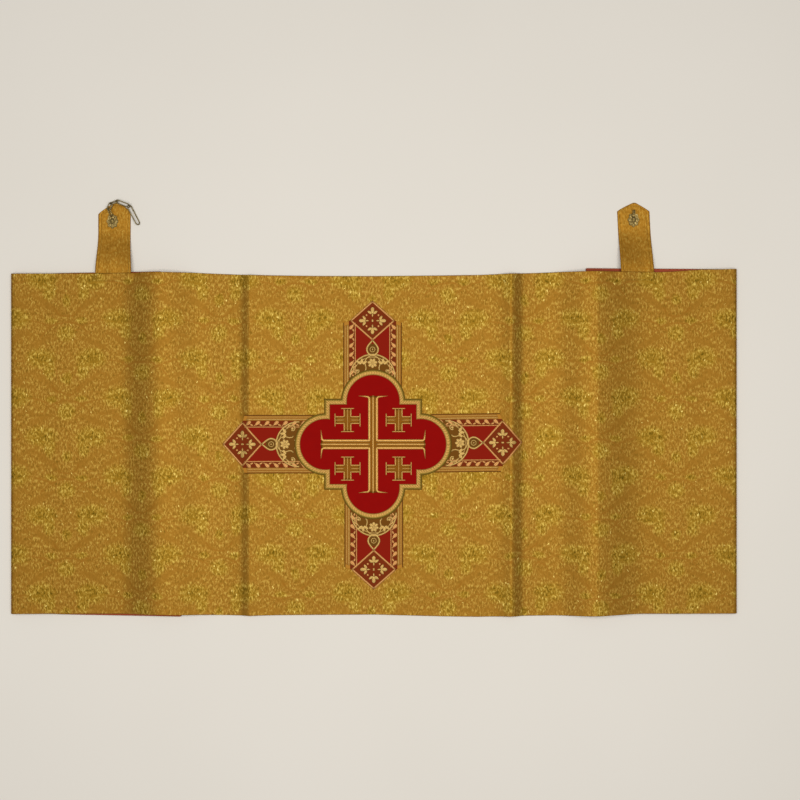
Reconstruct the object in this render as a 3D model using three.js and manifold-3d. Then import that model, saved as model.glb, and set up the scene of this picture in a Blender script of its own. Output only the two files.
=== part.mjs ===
// A lined gold brocade shoulder veil, laid flat on a table with both ends folded under.
// Millimetres. X runs along the veil, +Y towards its two fastening tabs, +Z up off the table.
// The origin is under the centre of the cross, on the table.
// The cloth is one long sheet. Seen from below the table line upwards at each end there is the
// hem layer, the middle layer and the front, joined by two soft folds. The brocade is the upper
// side of the front, and the red lining is its under side.

import * as THREE from "three";
import { mergeVertices } from "three/addons/utils/BufferGeometryUtils.js";
import Module from "manifold-3d";

const wasm = await Module();
wasm.setup();

// Cloth thicknesses, measured from a reference surface that runs between brocade and lining.
const GAP = 0.3;
const BROCADE_THICK = 1.1;
const LINING_THICK = 0.9;
const FACE = { low: GAP / 2, high: GAP / 2 + BROCADE_THICK };
const LINING = { low: -GAP / 2 - LINING_THICK, high: -GAP / 2 };
const LINING_INSET = 0.4;

// Heights of the reference surface.
const TABLE_Z = -LINING.low;
const MIDDLE_Z = 4.7;
const OVER_STACK_Z = 7.75;
const OVER_TIP_Z = 8.5;
const OUTER_FOLD = { top: 9, bottom: 1.35 };
const OUTER_FOLD_R = (OUTER_FOLD.top - OUTER_FOLD.bottom) / 2;
const INNER_FOLD_R = 2.3;

// The front reaches this far each side of the cross.
const FRONT_HALF = 580;
const FOLD_START = FRONT_HALF - OUTER_FOLD_R;

// Each folded end: where the inner fold lies at the veil's bottom and top edge, where the end
// hem lies, and the middle layer's own bottom and top edge at the inner fold.
const ENDS = {
  left: { tipBottom: 310, tipTop: 342, hem: 496, edgeBottom: -275.1, edgeTop: 280.4 },
  right: { tipBottom: 362, tipTop: 341, hem: 545, edgeBottom: -266, edgeTop: 285.3 },
};
const RISE_LENGTH = 46;
const HEM_LAYER_INSET = 4;

// The front's long edges, as unevenly laid as they are.
const FRONT_EDGES = [
  { x: -580, bottom: -270.5, top: 275 },
  { x: -450, bottom: -270, top: 275.3 },
  { x: -388, bottom: -270.3, top: 276.7 },
  { x: -345, bottom: -270.3, top: 277.4 },
  { x: -290, bottom: -272.3, top: 276.8 },
  { x: -201, bottom: -272.8, top: 274.6 },
  { x: 0, bottom: -272.2, top: 272.5 },
  { x: 110, bottom: -274.5, top: 273.4 },
  { x: 167, bottom: -275.7, top: 274.3 },
  { x: 223, bottom: -274.6, top: 276.4 },
  { x: 300, bottom: -273, top: 278 },
  { x: 356, bottom: -270.6, top: 278.9 },
  { x: 421, bottom: -268.7, top: 279.7 },
  { x: 524, bottom: -267.6, top: 282 },
  { x: 580, bottom: -267.5, top: 282.3 },
];

// Storage creases: each is a low ridge, sharp at its crest unless it is soft, that falls away
// over one width towards the cross and another width towards the veil's end.
const CREASES = [
  { x: -345, height: 3.6, towardCross: 34, towardEnd: 62, soft: true },
  { x: -201, height: 1.7, towardCross: 48, towardEnd: 23, soft: false },
  { x: 223, height: 2.1, towardCross: 42, towardEnd: 32, soft: false },
  { x: 356, height: 4.6, towardCross: 30, towardEnd: 112, soft: false },
];

// The cross: four arms of woven galloon tucked under a padded medallion.
const ARM = { halfWidth: 47, thick: 0.9, tuck: 12, tipAlong: 32, tipAcross: 36, shoulder: 3.5 };
const ARM_APEX = { vertical: 233, horizontal: 241 };
const MEDALLION = {
  thick: 2.1,
  boxX: 69.3,
  boxY: 64.3,
  sideLobe: { offset: 79.3, radius: 41 },
  endLobe: { offset: 68.8, radius: 42.8 },
};
const BRAID = { width: 7, thick: 1.2 };
const EMBROIDERY_THICK = 0.8;
const GREAT_CROSS = { x: 84, y: 78, bar: 9.2, serif: 24.5, serifThick: 2.6 };
const SMALL_CROSS = { x: 21, y: 19.5, bar: 6.4, serif: 11.4, serifThick: 1.8 };
const SMALL_CROSS_AT = { x: 41.5, y: 39.7 };
const EMBLEM_REACH = 262;

// The two fastening tabs, a little wider at the foot, which is tucked under the brocade.
const TAB = { width: 52, thick: 2, foot: 16, shoulderDrop: 14, tipWidth: 4 };
const TABS = {
  left: { x: -417, footWidth: 58, shoulderX: -417, tipX: -413.5, tipY: 389.5 },
  right: { x: 421.5, footWidth: 54, shoulderX: 416, tipX: 419, tipY: 388.5 },
};
const TAB_DROOP = { start: 8, end: 62 };
const TAB_BUTT = 0.7;
const TAB_SHARES = [-0.5, -0.25, 0, 0.25, 0.5];

// The clasp: a cast rosette on each tab, a wire hook on one and a chain on the other.
const ROSETTE = { halfX: 9.5, halfY: 12, thick: 1.6, petals: 8, scallop: 0.16, boss: 4.2 };
const ROSETTE_AT = { left: { x: -419.7, y: 358.5 }, right: { x: 416.7, y: 361 } };
const WIRE = 1.6;
const WIRE_SIDES = 8;
const LINK_PLAY = 0.8;
const LINK_END_STEPS = 8;
const EYE = { x: -421, y: 367.5, z: 6, roll: -50, halfWidth: 3.2 };
const CHAIN_JOINTS = [
  { x: -425.2, y: 378, z: 6.2 },
  { x: -421, y: 386.4, z: 6 },
  { x: -412, y: 390, z: 6 },
  { x: -392.5, y: 382.6, z: 6 },
  { x: -378.3, y: 354.5, z: 3.7 },
];
const CHAIN_LINKS = [
  { name: "chain_link_1", roll: 50, halfWidth: 3.2 },
  { name: "chain_link_2", roll: -50, halfWidth: 3.2 },
  { name: "chain_link_3", roll: 50, halfWidth: 3.6 },
  { name: "chain_end_link", roll: -45, halfWidth: 3.7 },
];
const HOOK = { wire: 1.4, half: 1.25, footY: 4, footSink: 0.3 };
const HOOK_SIDE = [
  { along: 0, up: 0 },
  { along: 5, up: 0.2 },
  { along: 10, up: 0.3 },
  { along: 11.5, up: 1.7 },
  { along: 10, up: 3.4 },
  { along: 5.5, up: 3.7 },
];
const HOOK_BILL = { along: 3.5, up: 3.9 };

const CLOTH_ROWS = [0, 0.05, 0.2, 0.4, 0.6, 0.8, 0.95, 1];
const FRONT_STEP = 30;
const CIRCLE_STEPS = 40;

const COLOURS = {
  brocade: new THREE.MeshStandardMaterial({ color: 0xa87d2c, roughness: 0.5, metalness: 0.4 }),
  lining: new THREE.MeshStandardMaterial({ color: 0xa32a1e, roughness: 0.6, metalness: 0 }),
  galloon: new THREE.MeshStandardMaterial({ color: 0x9a4420, roughness: 0.6, metalness: 0.2 }),
  velvet: new THREE.MeshStandardMaterial({ color: 0x8b0d08, roughness: 0.8, metalness: 0 }),
  goldThread: new THREE.MeshStandardMaterial({ color: 0xcaa355, roughness: 0.4, metalness: 0.6 }),
  silver: new THREE.MeshStandardMaterial({ color: 0x8a877c, roughness: 0.4, metalness: 0.9 }),
};

const mix = (a, b, t) => a + (b - a) * t;
const radians = (degrees) => (degrees * Math.PI) / 180;

function smooth(t) {
  const c = Math.min(1, Math.max(0, t));
  return c * c * (3 - 2 * c);
}

// Reads a column of a table that is ordered by x, straight between its rows.
function readTable(table, column, x) {
  const next = table.findIndex((row) => row.x >= x);
  if (next === -1) return table[table.length - 1][column];
  if (next === 0) return table[0][column];
  const [a, b] = [table[next - 1], table[next]];
  return mix(a[column], b[column], (x - a.x) / (b.x - a.x));
}

// Distance of an end's inner fold from the cross, for a row from 0 at the bottom to 1 at the top.
const tipAt = (end, row) => mix(end.tipBottom, end.tipTop, row);

function creaseHeight(crease, x) {
  const outward = (x - crease.x) * Math.sign(crease.x);
  const width = outward > 0 ? crease.towardEnd : crease.towardCross;
  const share = Math.min(1, Math.abs(outward) / width);
  return crease.height * (crease.soft ? 1 - smooth(share) : (1 - share) ** 2);
}

// Height of the front's reference surface: flat on the table in the middle, lifted over the
// folded ends, with the creases on top.
function frontZ(x, row) {
  const end = x < 0 ? ENDS.left : ENDS.right;
  const out = Math.abs(x);
  const tip = tipAt(end, row);
  const lift = smooth((out - (tip - RISE_LENGTH)) / (RISE_LENGTH + 5));
  const settle = smooth((out - tip - 5) / 60);
  const level = mix(TABLE_Z, mix(OVER_TIP_Z, OVER_STACK_Z, settle), lift);
  const atFold = smooth((out - 520) / (FOLD_START - 520));
  const ridges = CREASES.reduce((sum, crease) => sum + creaseHeight(crease, x), 0);
  return level + ridges + (OUTER_FOLD.top - OVER_STACK_Z) * atFold;
}

// A station is one line across the veil: x, z and y for a row from 0 to 1.
function frontStation(x) {
  const bottom = readTable(FRONT_EDGES, "bottom", x);
  const top = readTable(FRONT_EDGES, "top", x);
  return (row) => ({ x, y: mix(bottom, top, row), z: frontZ(x, row) });
}

function frontXs() {
  const marks = [-FOLD_START, FOLD_START];
  for (const crease of CREASES) {
    const way = Math.sign(crease.x);
    for (const share of [-1, -0.5, 0, 0.5, 1]) {
      const width = share > 0 ? crease.towardEnd : crease.towardCross;
      marks.push(crease.x + way * share * width);
    }
  }
  for (const tab of Object.values(TABS))
    for (const share of TAB_SHARES) marks.push(tab.x + share * tab.footWidth);
  for (const tip of [-342, -326, -310, 326, 341, 362]) marks.push(tip, tip * 0.95, tip * 0.9);
  for (let x = -FOLD_START + FRONT_STEP; x < FOLD_START; x += FRONT_STEP)
    if (marks.every((mark) => Math.abs(mark - x) > FRONT_STEP / 2)) marks.push(x);
  const sorted = marks.sort((a, b) => a - b);
  return sorted.filter((x, i) => i === 0 || x - sorted[i - 1] > 2.5);
}

// The layers under one end, from the outer fold inwards to the inner fold and out to the hem.
function underStations(name) {
  const end = ENDS[name];
  const way = name === "left" ? -1 : 1;
  const foldBottom = readTable(FRONT_EDGES, "bottom", way * FRONT_HALF);
  const foldTop = readTable(FRONT_EDGES, "top", way * FRONT_HALF);
  const stations = [];
  const station = (out, z, inward, inset) =>
    stations.push((row) => {
      const share = inward(row);
      const bottom = mix(foldBottom, end.edgeBottom, share) + inset;
      const top = mix(foldTop, end.edgeTop, share) - inset;
      return { x: way * out(row), y: mix(bottom, top, row), z: z(row) };
    });
  const inner = (row) => tipAt(end, row) + INNER_FOLD_R;
  const innerTop = TABLE_Z + 2 * INNER_FOLD_R;

  const foldMiddle = (OUTER_FOLD.top + OUTER_FOLD.bottom) / 2;
  for (const angle of [54, 18, -18, -54, -90]) {
    const out = FOLD_START + OUTER_FOLD_R * Math.cos(radians(angle));
    const z = foldMiddle + OUTER_FOLD_R * Math.sin(radians(angle));
    station(() => out, () => z, () => 0, 0);
  }
  const middleZ = (out, row) => {
    const overHem = smooth((end.hem + 26 - out) / 22);
    const nearTip = smooth((inner(row) + 55 - out) / 55);
    return mix(OUTER_FOLD.bottom, MIDDLE_Z, overHem) + (innerTop - MIDDLE_Z) * nearTip;
  };
  const inwardAt = (out, row) => (FOLD_START - out) / (FOLD_START - inner(row));
  for (const out of [end.hem + 26, end.hem + 15, end.hem + 4, mix(end.hem, 380, 0.5), 380])
    station(() => out, (row) => middleZ(out, row), (row) => inwardAt(out, row), 0);
  for (const angle of [90, 126, 162, 198, 234, 270]) {
    const along = INNER_FOLD_R * Math.cos(radians(angle));
    const z = TABLE_Z + INNER_FOLD_R * (1 + Math.sin(radians(angle)));
    station((row) => inner(row) + along, () => z, () => 1, 0);
  }
  for (const share of [0.5, 1])
    station(
      (row) => mix(inner(row), end.hem, share),
      () => TABLE_Z,
      () => 1,
      share * HEM_LAYER_INSET,
    );
  return stations;
}

// The whole sheet from the left end's hem to the right end's hem, each point with the direction
// in X and Z that the brocade side faces.
function sheetColumns() {
  const front = frontXs().map(frontStation);
  const stations = [...underStations("left").reverse(), ...front, ...underStations("right")];
  const points = stations.map((station) => CLOTH_ROWS.map(station));
  return points.map((column, i) =>
    column.map((point, j) => {
      const before = points[Math.max(0, i - 1)][j];
      const after = points[Math.min(points.length - 1, i + 1)][j];
      const length = Math.hypot(after.x - before.x, after.z - before.z);
      return { ...point, nx: -(after.z - before.z) / length, nz: (after.x - before.x) / length };
    }),
  );
}

// A closed solid between two offsets from a grid of points.
function slabGeometry(columns, low, high) {
  const rows = columns[0].length;
  const positions = [];
  for (const offset of [high, low])
    for (const column of columns)
      for (const p of column) positions.push(p.x + p.nx * offset, p.y, p.z + p.nz * offset);
  const count = columns.length * rows;
  const at = (side, i, j) => side * count + i * rows + j;
  const index = [];
  const quad = (a, b, c, d) => index.push(a, b, c, a, c, d);
  for (let i = 0; i + 1 < columns.length; i++)
    for (let j = 0; j + 1 < rows; j++) {
      quad(at(0, i, j), at(0, i + 1, j), at(0, i + 1, j + 1), at(0, i, j + 1));
      quad(at(1, i, j), at(1, i, j + 1), at(1, i + 1, j + 1), at(1, i + 1, j));
    }
  const rim = [];
  for (let i = 0; i < columns.length; i++) rim.push([i, 0]);
  for (let j = 1; j < rows; j++) rim.push([columns.length - 1, j]);
  for (let i = columns.length - 2; i >= 0; i--) rim.push([i, rows - 1]);
  for (let j = rows - 2; j > 0; j--) rim.push([0, j]);
  rim.forEach(([i, j], k) => {
    const [m, n] = rim[(k + 1) % rim.length];
    quad(at(1, i, j), at(1, m, n), at(0, m, n), at(0, i, j));
  });
  const geometry = new THREE.BufferGeometry();
  geometry.setAttribute("position", new THREE.Float32BufferAttribute(positions, 3));
  geometry.setIndex(index);
  return geometry;
}

// Between three.js geometries and manifold-3d solids.
function solidOf(geometry) {
  const bare = geometry.clone();
  bare.deleteAttribute("normal");
  bare.deleteAttribute("uv");
  const merged = mergeVertices(bare, 1e-4);
  const mesh = new wasm.Mesh({
    numProp: 3,
    vertProperties: merged.attributes.position.array,
    triVerts: new Uint32Array(merged.index.array),
  });
  return new wasm.Manifold(mesh);
}

function geometryOf(solid) {
  const mesh = solid.getMesh();
  const geometry = new THREE.BufferGeometry();
  geometry.setAttribute("position", new THREE.BufferAttribute(mesh.vertProperties, 3));
  geometry.setIndex(new THREE.BufferAttribute(mesh.triVerts, 1));
  return geometry;
}

const unite = (solids) => solids.reduce((all, one) => all.add(one));

// Upright prisms that cut outlines out of a slab.
const PRISM = { low: -5, high: 40 };

function boxPrism(x, y, halfX, halfY, low = PRISM.low, high = PRISM.high) {
  const box = new THREE.BoxGeometry(2 * halfX, 2 * halfY, high - low);
  return solidOf(box.translate(x, y, (low + high) / 2));
}

function roundPrism(x, y, radius) {
  const height = PRISM.high - PRISM.low;
  const round = new THREE.CylinderGeometry(radius, radius, height, CIRCLE_STEPS);
  return solidOf(round.rotateX(Math.PI / 2).translate(x, y, (PRISM.low + PRISM.high) / 2));
}

function outlinePrism(points, x = 0, y = 0, turn = 0) {
  const shape = new THREE.Shape(points.map(([u, v]) => new THREE.Vector2(u, v)));
  const prism = new THREE.ExtrudeGeometry(shape, { depth: PRISM.high - PRISM.low, bevelEnabled: false });
  return solidOf(prism.rotateZ(turn).translate(x, y, PRISM.low));
}

const columns = sheetColumns();
const emblemColumns = columns.filter((column, i) => {
  const isFront = i > 0 && column[0].nz > 0.9 && column[0].z < OVER_TIP_Z;
  return isFront && Math.abs(column[0].x) <= EMBLEM_REACH + FRONT_STEP;
});

// A slab that lies on the brocade, between two heights above it.
const onBrocade = (low, high) =>
  solidOf(slabGeometry(emblemColumns, FACE.high + low, FACE.high + high));

function makeLining() {
  const inset = columns.map((column) =>
    column.map((p, j) => {
      const shift = j === 0 ? LINING_INSET : j === column.length - 1 ? -LINING_INSET : 0;
      return { ...p, y: p.y + shift };
    }),
  );
  const sheet = solidOf(slabGeometry(inset, LINING.low, LINING.high));
  const underFront = OVER_STACK_Z + LINING.low - 0.5;
  const notches = Object.values(TABS).map((tab) =>
    boxPrism(
      tab.x,
      readTable(FRONT_EDGES, "top", tab.x),
      tab.footWidth / 2 + GAP,
      TAB.foot + GAP,
      underFront,
      PRISM.high,
    ),
  );
  return geometryOf(sheet.subtract(unite(notches)));
}

// A tab: its thinned foot lies in the lining's notch under the brocade, then the doubled brocade
// strip droops to the table and ends in a point.
function makeTab(tab) {
  const halfFoot = tab.footWidth / 2;
  const clothEdge = (x) => readTable(FRONT_EDGES, "top", x);
  const edge = Math.max(clothEdge(tab.x - halfFoot), clothEdge(tab.x + halfFoot)) + TAB_BUTT;
  const shoulder = tab.tipY - TAB.shoulderDrop;
  const thin = LINING.high - 0.2;
  const full = LINING.low + TAB.thick;
  const rows = [
    { y: edge - TAB.foot - 1, top: thin },
    { y: edge - 0.6, top: thin },
    { y: edge - 0.15, top: thin },
    { y: edge + 0.15, top: full },
    ...[8, 18, 27, 36, 45, 54, 62].map((d) => ({ y: edge + d, top: full })),
    { y: shoulder, top: full },
    { y: tab.tipY, top: full, narrow: true },
  ];
  const grid = TAB_SHARES.map((share) =>
    rows.map((row) => {
      const along = Math.max(0, (row.y - edge) / (tab.tipY - edge));
      const width = row.narrow ? TAB.tipWidth : mix(tab.footWidth, TAB.width, smooth(along * 2));
      const atFoot = frontZ(tab.x + share * tab.footWidth, 1);
      const droop = smooth((row.y - edge - TAB_DROOP.start) / (TAB_DROOP.end - TAB_DROOP.start));
      return {
        x: (row.narrow ? tab.tipX : mix(tab.x, tab.shoulderX, along)) + share * width,
        y: row.y,
        z: mix(atFoot, TABLE_Z, droop),
        top: row.top,
      };
    }),
  );
  const sides = [(p) => p.z + p.top, (p) => p.z + LINING.low];
  const layered = grid.map((column) => column.map((p) => ({ x: p.x, y: p.y, z: 0, nx: 0, nz: 0, p })));
  const geometry = slabGeometry(layered, 0, 0);
  const position = geometry.attributes.position;
  const count = grid.length * rows.length;
  sides.forEach((height, side) =>
    grid.flat().forEach((p, k) => position.setZ(side * count + k, height(p))),
  );
  return geometry;
}

// A galloon arm, drawn pointing along +X from the cross, with its pointed end on the outside.
function armOutline(apex) {
  const corner = apex - ARM.tipAlong;
  const side = corner - ARM.shoulder;
  const lobe = apex === ARM_APEX.horizontal ? MEDALLION.sideLobe : MEDALLION.endLobe;
  const start = lobe.offset + lobe.radius - ARM.tuck - 14;
  return [
    [start, -ARM.halfWidth],
    [side, -ARM.halfWidth],
    [corner, -ARM.tipAcross],
    [apex, 0],
    [corner, ARM.tipAcross],
    [side, ARM.halfWidth],
    [start, ARM.halfWidth],
  ];
}

const ARMS = [
  { name: "galloon_arm_right", apex: ARM_APEX.horizontal, turn: 0 },
  { name: "galloon_arm_top", apex: ARM_APEX.vertical, turn: 90 },
  { name: "galloon_arm_left", apex: ARM_APEX.horizontal, turn: 180 },
  { name: "galloon_arm_bottom", apex: ARM_APEX.vertical, turn: 270 },
];

function makeArm(arm) {
  const outline = outlinePrism(armOutline(arm.apex), 0, 0, radians(arm.turn));
  return geometryOf(outline.intersect(onBrocade(GAP, GAP + ARM.thick)));
}

// The medallion's outline: a box with four round lobes, grown by a margin.
function medallionPrism(margin) {
  const { sideLobe, endLobe } = MEDALLION;
  return unite([
    boxPrism(0, 0, MEDALLION.boxX + margin, MEDALLION.boxY + margin),
    roundPrism(sideLobe.offset, 0, sideLobe.radius + margin),
    roundPrism(-sideLobe.offset, 0, sideLobe.radius + margin),
    roundPrism(0, endLobe.offset, endLobe.radius + margin),
    roundPrism(0, -endLobe.offset, endLobe.radius + margin),
  ]);
}

const MEDALLION_TOP = GAP + MEDALLION.thick;

function makeMedallion() {
  const whole = medallionPrism(BRAID.width).intersect(onBrocade(GAP, MEDALLION_TOP));
  const armTop = TABLE_Z + FACE.high + 2 * GAP + ARM.thick;
  const pockets = ARMS.map((arm) => {
    const outline = armOutline(arm.apex).map(([u, v]) => [
      u < ARM_APEX.vertical / 2 ? u - GAP : u,
      v + Math.sign(v) * GAP,
    ]);
    const low = boxPrism(0, 0, EMBLEM_REACH, EMBLEM_REACH, PRISM.low, armTop);
    return outlinePrism(outline, 0, 0, radians(arm.turn)).intersect(low);
  });
  return geometryOf(whole.subtract(unite(pockets)));
}

function makeBraid() {
  const ring = medallionPrism(BRAID.width - GAP).subtract(medallionPrism(0));
  const low = MEDALLION_TOP + GAP;
  return geometryOf(ring.intersect(onBrocade(low, low + BRAID.thick)));
}

// A cross with a tapered bar across each end, worked in gold thread.
function crossOutline(size) {
  const { bar, serif, serifThick } = size;
  const points = [];
  for (let quarter = 0; quarter < 4; quarter++) {
    const reach = quarter % 2 ? size.y : size.x;
    const arm = [
      [bar, -bar],
      [reach - serifThick, -bar],
      [reach - 1, -serif],
      [reach, -serif],
      [reach, serif],
      [reach - 1, serif],
      [reach - serifThick, bar],
    ];
    const turn = (quarter * Math.PI) / 2;
    for (const [u, v] of arm)
      points.push([
        Math.round(Math.cos(turn)) * u - Math.round(Math.sin(turn)) * v,
        Math.round(Math.sin(turn)) * u + Math.round(Math.cos(turn)) * v,
      ]);
  }
  return points;
}

function makeCross(size, x, y) {
  const low = MEDALLION_TOP + GAP;
  const outline = outlinePrism(crossOutline(size), x, y);
  return geometryOf(outline.intersect(onBrocade(low, low + EMBROIDERY_THICK)));
}

// A closed loop of wire: two straight sides and two round ends, from one joint to the next.
function linkGeometry(from, to, roll, halfWidth, wire) {
  const start = new THREE.Vector3(from.x, from.y, from.z);
  const finish = new THREE.Vector3(to.x, to.y, to.z);
  const along = finish.clone().sub(start).normalize();
  const level = new THREE.Vector3(-along.y, along.x, 0).normalize();
  const across = level.applyAxisAngle(along, radians(roll));
  const reach = wire / 2 + LINK_PLAY / 2;
  const a = start.clone().addScaledVector(along, halfWidth - reach);
  const b = finish.clone().addScaledVector(along, reach - halfWidth);
  const line = [];
  for (const [centre, firstAngle] of [
    [b, -90],
    [a, 90],
  ])
    for (let k = 0; k <= LINK_END_STEPS; k++) {
      const angle = radians(firstAngle + (180 * k) / LINK_END_STEPS);
      line.push(
        centre
          .clone()
          .addScaledVector(along, halfWidth * Math.cos(angle))
          .addScaledVector(across, halfWidth * Math.sin(angle)),
      );
    }
  const normal = along.clone().cross(across);
  return ringTube(line, normal, wire / 2);
}

// A tube round a closed flat line.
function ringTube(line, normal, radius) {
  const sides = WIRE_SIDES;
  const positions = [];
  const index = [];
  line.forEach((point, i) => {
    const before = line[(i + line.length - 1) % line.length];
    const after = line[(i + 1) % line.length];
    const tangent = after.clone().sub(before).normalize();
    const side = tangent.clone().cross(normal).normalize();
    for (let k = 0; k < sides; k++) {
      const angle = (2 * Math.PI * k) / sides;
      const p = point
        .clone()
        .addScaledVector(side, radius * Math.cos(angle))
        .addScaledVector(normal, radius * Math.sin(angle));
      positions.push(p.x, p.y, p.z);
    }
  });
  for (let i = 0; i < line.length; i++)
    for (let k = 0; k < sides; k++) {
      const [m, n] = [(i + 1) % line.length, (k + 1) % sides];
      const [a, b, c, d] = [i * sides + k, m * sides + k, m * sides + n, i * sides + n];
      index.push(a, b, c, a, c, d);
    }
  const geometry = new THREE.BufferGeometry();
  geometry.setAttribute("position", new THREE.Float32BufferAttribute(positions, 3));
  geometry.setIndex(index);
  return geometry;
}

// A cast rosette: a scalloped oval plate with a low boss.
function rosetteSolid(at) {
  const steps = ROSETTE.petals * 6;
  const points = [];
  for (let k = 0; k < steps; k++) {
    const angle = (2 * Math.PI * k) / steps;
    const r = 1 - ROSETTE.scallop * (1 - Math.cos(ROSETTE.petals * angle)) * 0.5;
    const [u, v] = [ROSETTE.halfX * r * Math.sin(angle), ROSETTE.halfY * r * Math.cos(angle)];
    points.push(new THREE.Vector2(u, v));
  }
  const low = TAB.thick + GAP;
  const plate = new THREE.ExtrudeGeometry(new THREE.Shape(points.reverse()), {
    depth: ROSETTE.thick,
    bevelEnabled: false,
  });
  const boss = new THREE.CylinderGeometry(ROSETTE.boss * 0.55, ROSETTE.boss, ROSETTE.thick, 20);
  const bossZ = low + ROSETTE.thick * 1.4;
  return unite([
    solidOf(plate.translate(at.x, at.y, low)),
    solidOf(boss.rotateX(Math.PI / 2).translate(at.x, at.y, bossZ)),
  ]);
}

// The left rosette has an eye at its top, through which the chain's first link passes.
function makeEyeRosette() {
  const eye = linkGeometry(EYE, CHAIN_JOINTS[0], EYE.roll, EYE.halfWidth, WIRE);
  return geometryOf(rosetteSolid(ROSETTE_AT.left).add(solidOf(eye)));
}

// The right rosette carries a doubled wire hook whose bill turns back over it.
function makeHookRosette() {
  const at = ROSETTE_AT.right;
  const foot = TAB.thick + GAP + ROSETTE.thick - HOOK.footSink;
  const place = (x, row) => new THREE.Vector3(at.x + x, at.y + HOOK.footY + row.along, foot + row.up);
  const side = (x) => HOOK_SIDE.map((row) => place(x, row));
  const bill = place(0, HOOK_BILL);
  const path = new THREE.CatmullRomCurve3([...side(-HOOK.half), bill, ...side(HOOK.half).reverse()]);
  const section = new THREE.Shape();
  section.absarc(0, 0, HOOK.wire / 2, 0, 2 * Math.PI);
  const wire = new THREE.ExtrudeGeometry(section, { steps: 56, curveSegments: 4, extrudePath: path });
  return geometryOf(rosetteSolid(at).add(solidOf(wire)));
}

const veil = new THREE.Group();

function addPiece(name, geometry, material) {
  const mesh = new THREE.Mesh(geometry, material);
  mesh.name = name;
  veil.add(mesh);
}

addPiece("brocade_face", slabGeometry(columns, FACE.low, FACE.high), COLOURS.brocade);
addPiece("red_lining", makeLining(), COLOURS.lining);
for (const [name, tab] of Object.entries(TABS)) addPiece(`tab_${name}`, makeTab(tab), COLOURS.brocade);
for (const arm of ARMS) addPiece(arm.name, makeArm(arm), COLOURS.galloon);
addPiece("medallion", makeMedallion(), COLOURS.velvet);
addPiece("medallion_braid", makeBraid(), COLOURS.goldThread);
addPiece("great_cross", makeCross(GREAT_CROSS, 0, 0), COLOURS.goldThread);
let crosslet = 1;
for (const sx of [-1, 1])
  for (const sy of [-1, 1])
    addPiece(
      `small_cross_${crosslet++}`,
      makeCross(SMALL_CROSS, sx * SMALL_CROSS_AT.x, sy * SMALL_CROSS_AT.y),
      COLOURS.goldThread,
    );
addPiece("rosette_with_eye", makeEyeRosette(), COLOURS.silver);
addPiece("rosette_with_hook", makeHookRosette(), COLOURS.silver);
CHAIN_LINKS.forEach((link, i) => {
  const [from, to] = [CHAIN_JOINTS[i], CHAIN_JOINTS[i + 1]];
  addPiece(link.name, linkGeometry(from, to, link.roll, link.halfWidth, WIRE), COLOURS.silver);
});

export default veil;
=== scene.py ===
"""A lined gold brocade humeral veil, laid flat with both ends folded under, for Blender."""

import math

import bmesh
import bpy
import numpy as np
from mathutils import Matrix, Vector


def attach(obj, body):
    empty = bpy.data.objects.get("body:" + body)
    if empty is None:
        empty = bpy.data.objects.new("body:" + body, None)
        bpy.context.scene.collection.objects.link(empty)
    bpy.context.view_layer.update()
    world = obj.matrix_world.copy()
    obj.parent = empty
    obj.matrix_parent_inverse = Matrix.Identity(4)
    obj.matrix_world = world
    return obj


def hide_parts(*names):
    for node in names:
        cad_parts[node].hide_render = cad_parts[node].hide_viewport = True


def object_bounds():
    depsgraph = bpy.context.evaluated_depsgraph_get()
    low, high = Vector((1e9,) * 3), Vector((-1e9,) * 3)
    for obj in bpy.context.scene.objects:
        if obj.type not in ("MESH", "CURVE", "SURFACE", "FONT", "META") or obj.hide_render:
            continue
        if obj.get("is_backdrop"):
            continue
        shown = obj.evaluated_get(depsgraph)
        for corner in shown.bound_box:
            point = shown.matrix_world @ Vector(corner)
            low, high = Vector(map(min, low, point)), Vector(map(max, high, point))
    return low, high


bl_info = {
    "name": "Humeral veil",
    "version": (1, 0, 0),
    "blender": (4, 5, 0),
    "location": "View3D > Sidebar > Veil",
    "description": "Builds the cloth, galloon cross, medallion and clasp of a lined brocade veil",
    "category": "Add Mesh",
}

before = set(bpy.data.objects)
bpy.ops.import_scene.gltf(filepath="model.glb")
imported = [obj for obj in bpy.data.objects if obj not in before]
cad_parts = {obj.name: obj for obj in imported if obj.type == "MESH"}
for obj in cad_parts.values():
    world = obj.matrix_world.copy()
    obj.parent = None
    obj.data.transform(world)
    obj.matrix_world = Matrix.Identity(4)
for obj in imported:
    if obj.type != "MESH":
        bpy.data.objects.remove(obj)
CAD_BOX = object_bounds()

# Sizes are in millimetres and meshes in metres.
MM = 0.001
# One picture element of the photograph is this long on the cloth.
PIXEL = 1.608

# The two cloths, as offsets from the surface that runs between them.
GAP = 0.3
FACE = (GAP / 2, GAP / 2 + 1.1)
LINING = (-GAP / 2 - 0.9, -GAP / 2)
TABLE_Z = -LINING[0]
MIDDLE_Z = 4.7
OVER_STACK_Z = 7.75
OVER_TIP_Z = 8.5
OUTER_FOLD_BOTTOM = 1.35
OUTER_FOLD_TOP = 9.0
OUTER_FOLD_R = (OUTER_FOLD_TOP - OUTER_FOLD_BOTTOM) / 2
INNER_FOLD_R = 2.3
FRONT_HALF = 580.0
FOLD_START = FRONT_HALF - OUTER_FOLD_R
SETTLE_FROM = 520.0
RISE_LENGTH = 80.0
HEM_LAYER_INSET = 4.0
ENDS = {
    "left": dict(way=-1, tip=(310.0, 342.0), hem=496.0, edge=(-275.4, 277.8)),
    "right": dict(way=1, tip=(362.0, 341.0), hem=545.0, edge=(-267.0, 282.9)),
}
FRONT_EDGE_X = [
    -580, -450, -388, -345, -290, -201, -90, 0, 110, 167, 223, 300, 356, 421, 453, 479, 524, 580,
]
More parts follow.
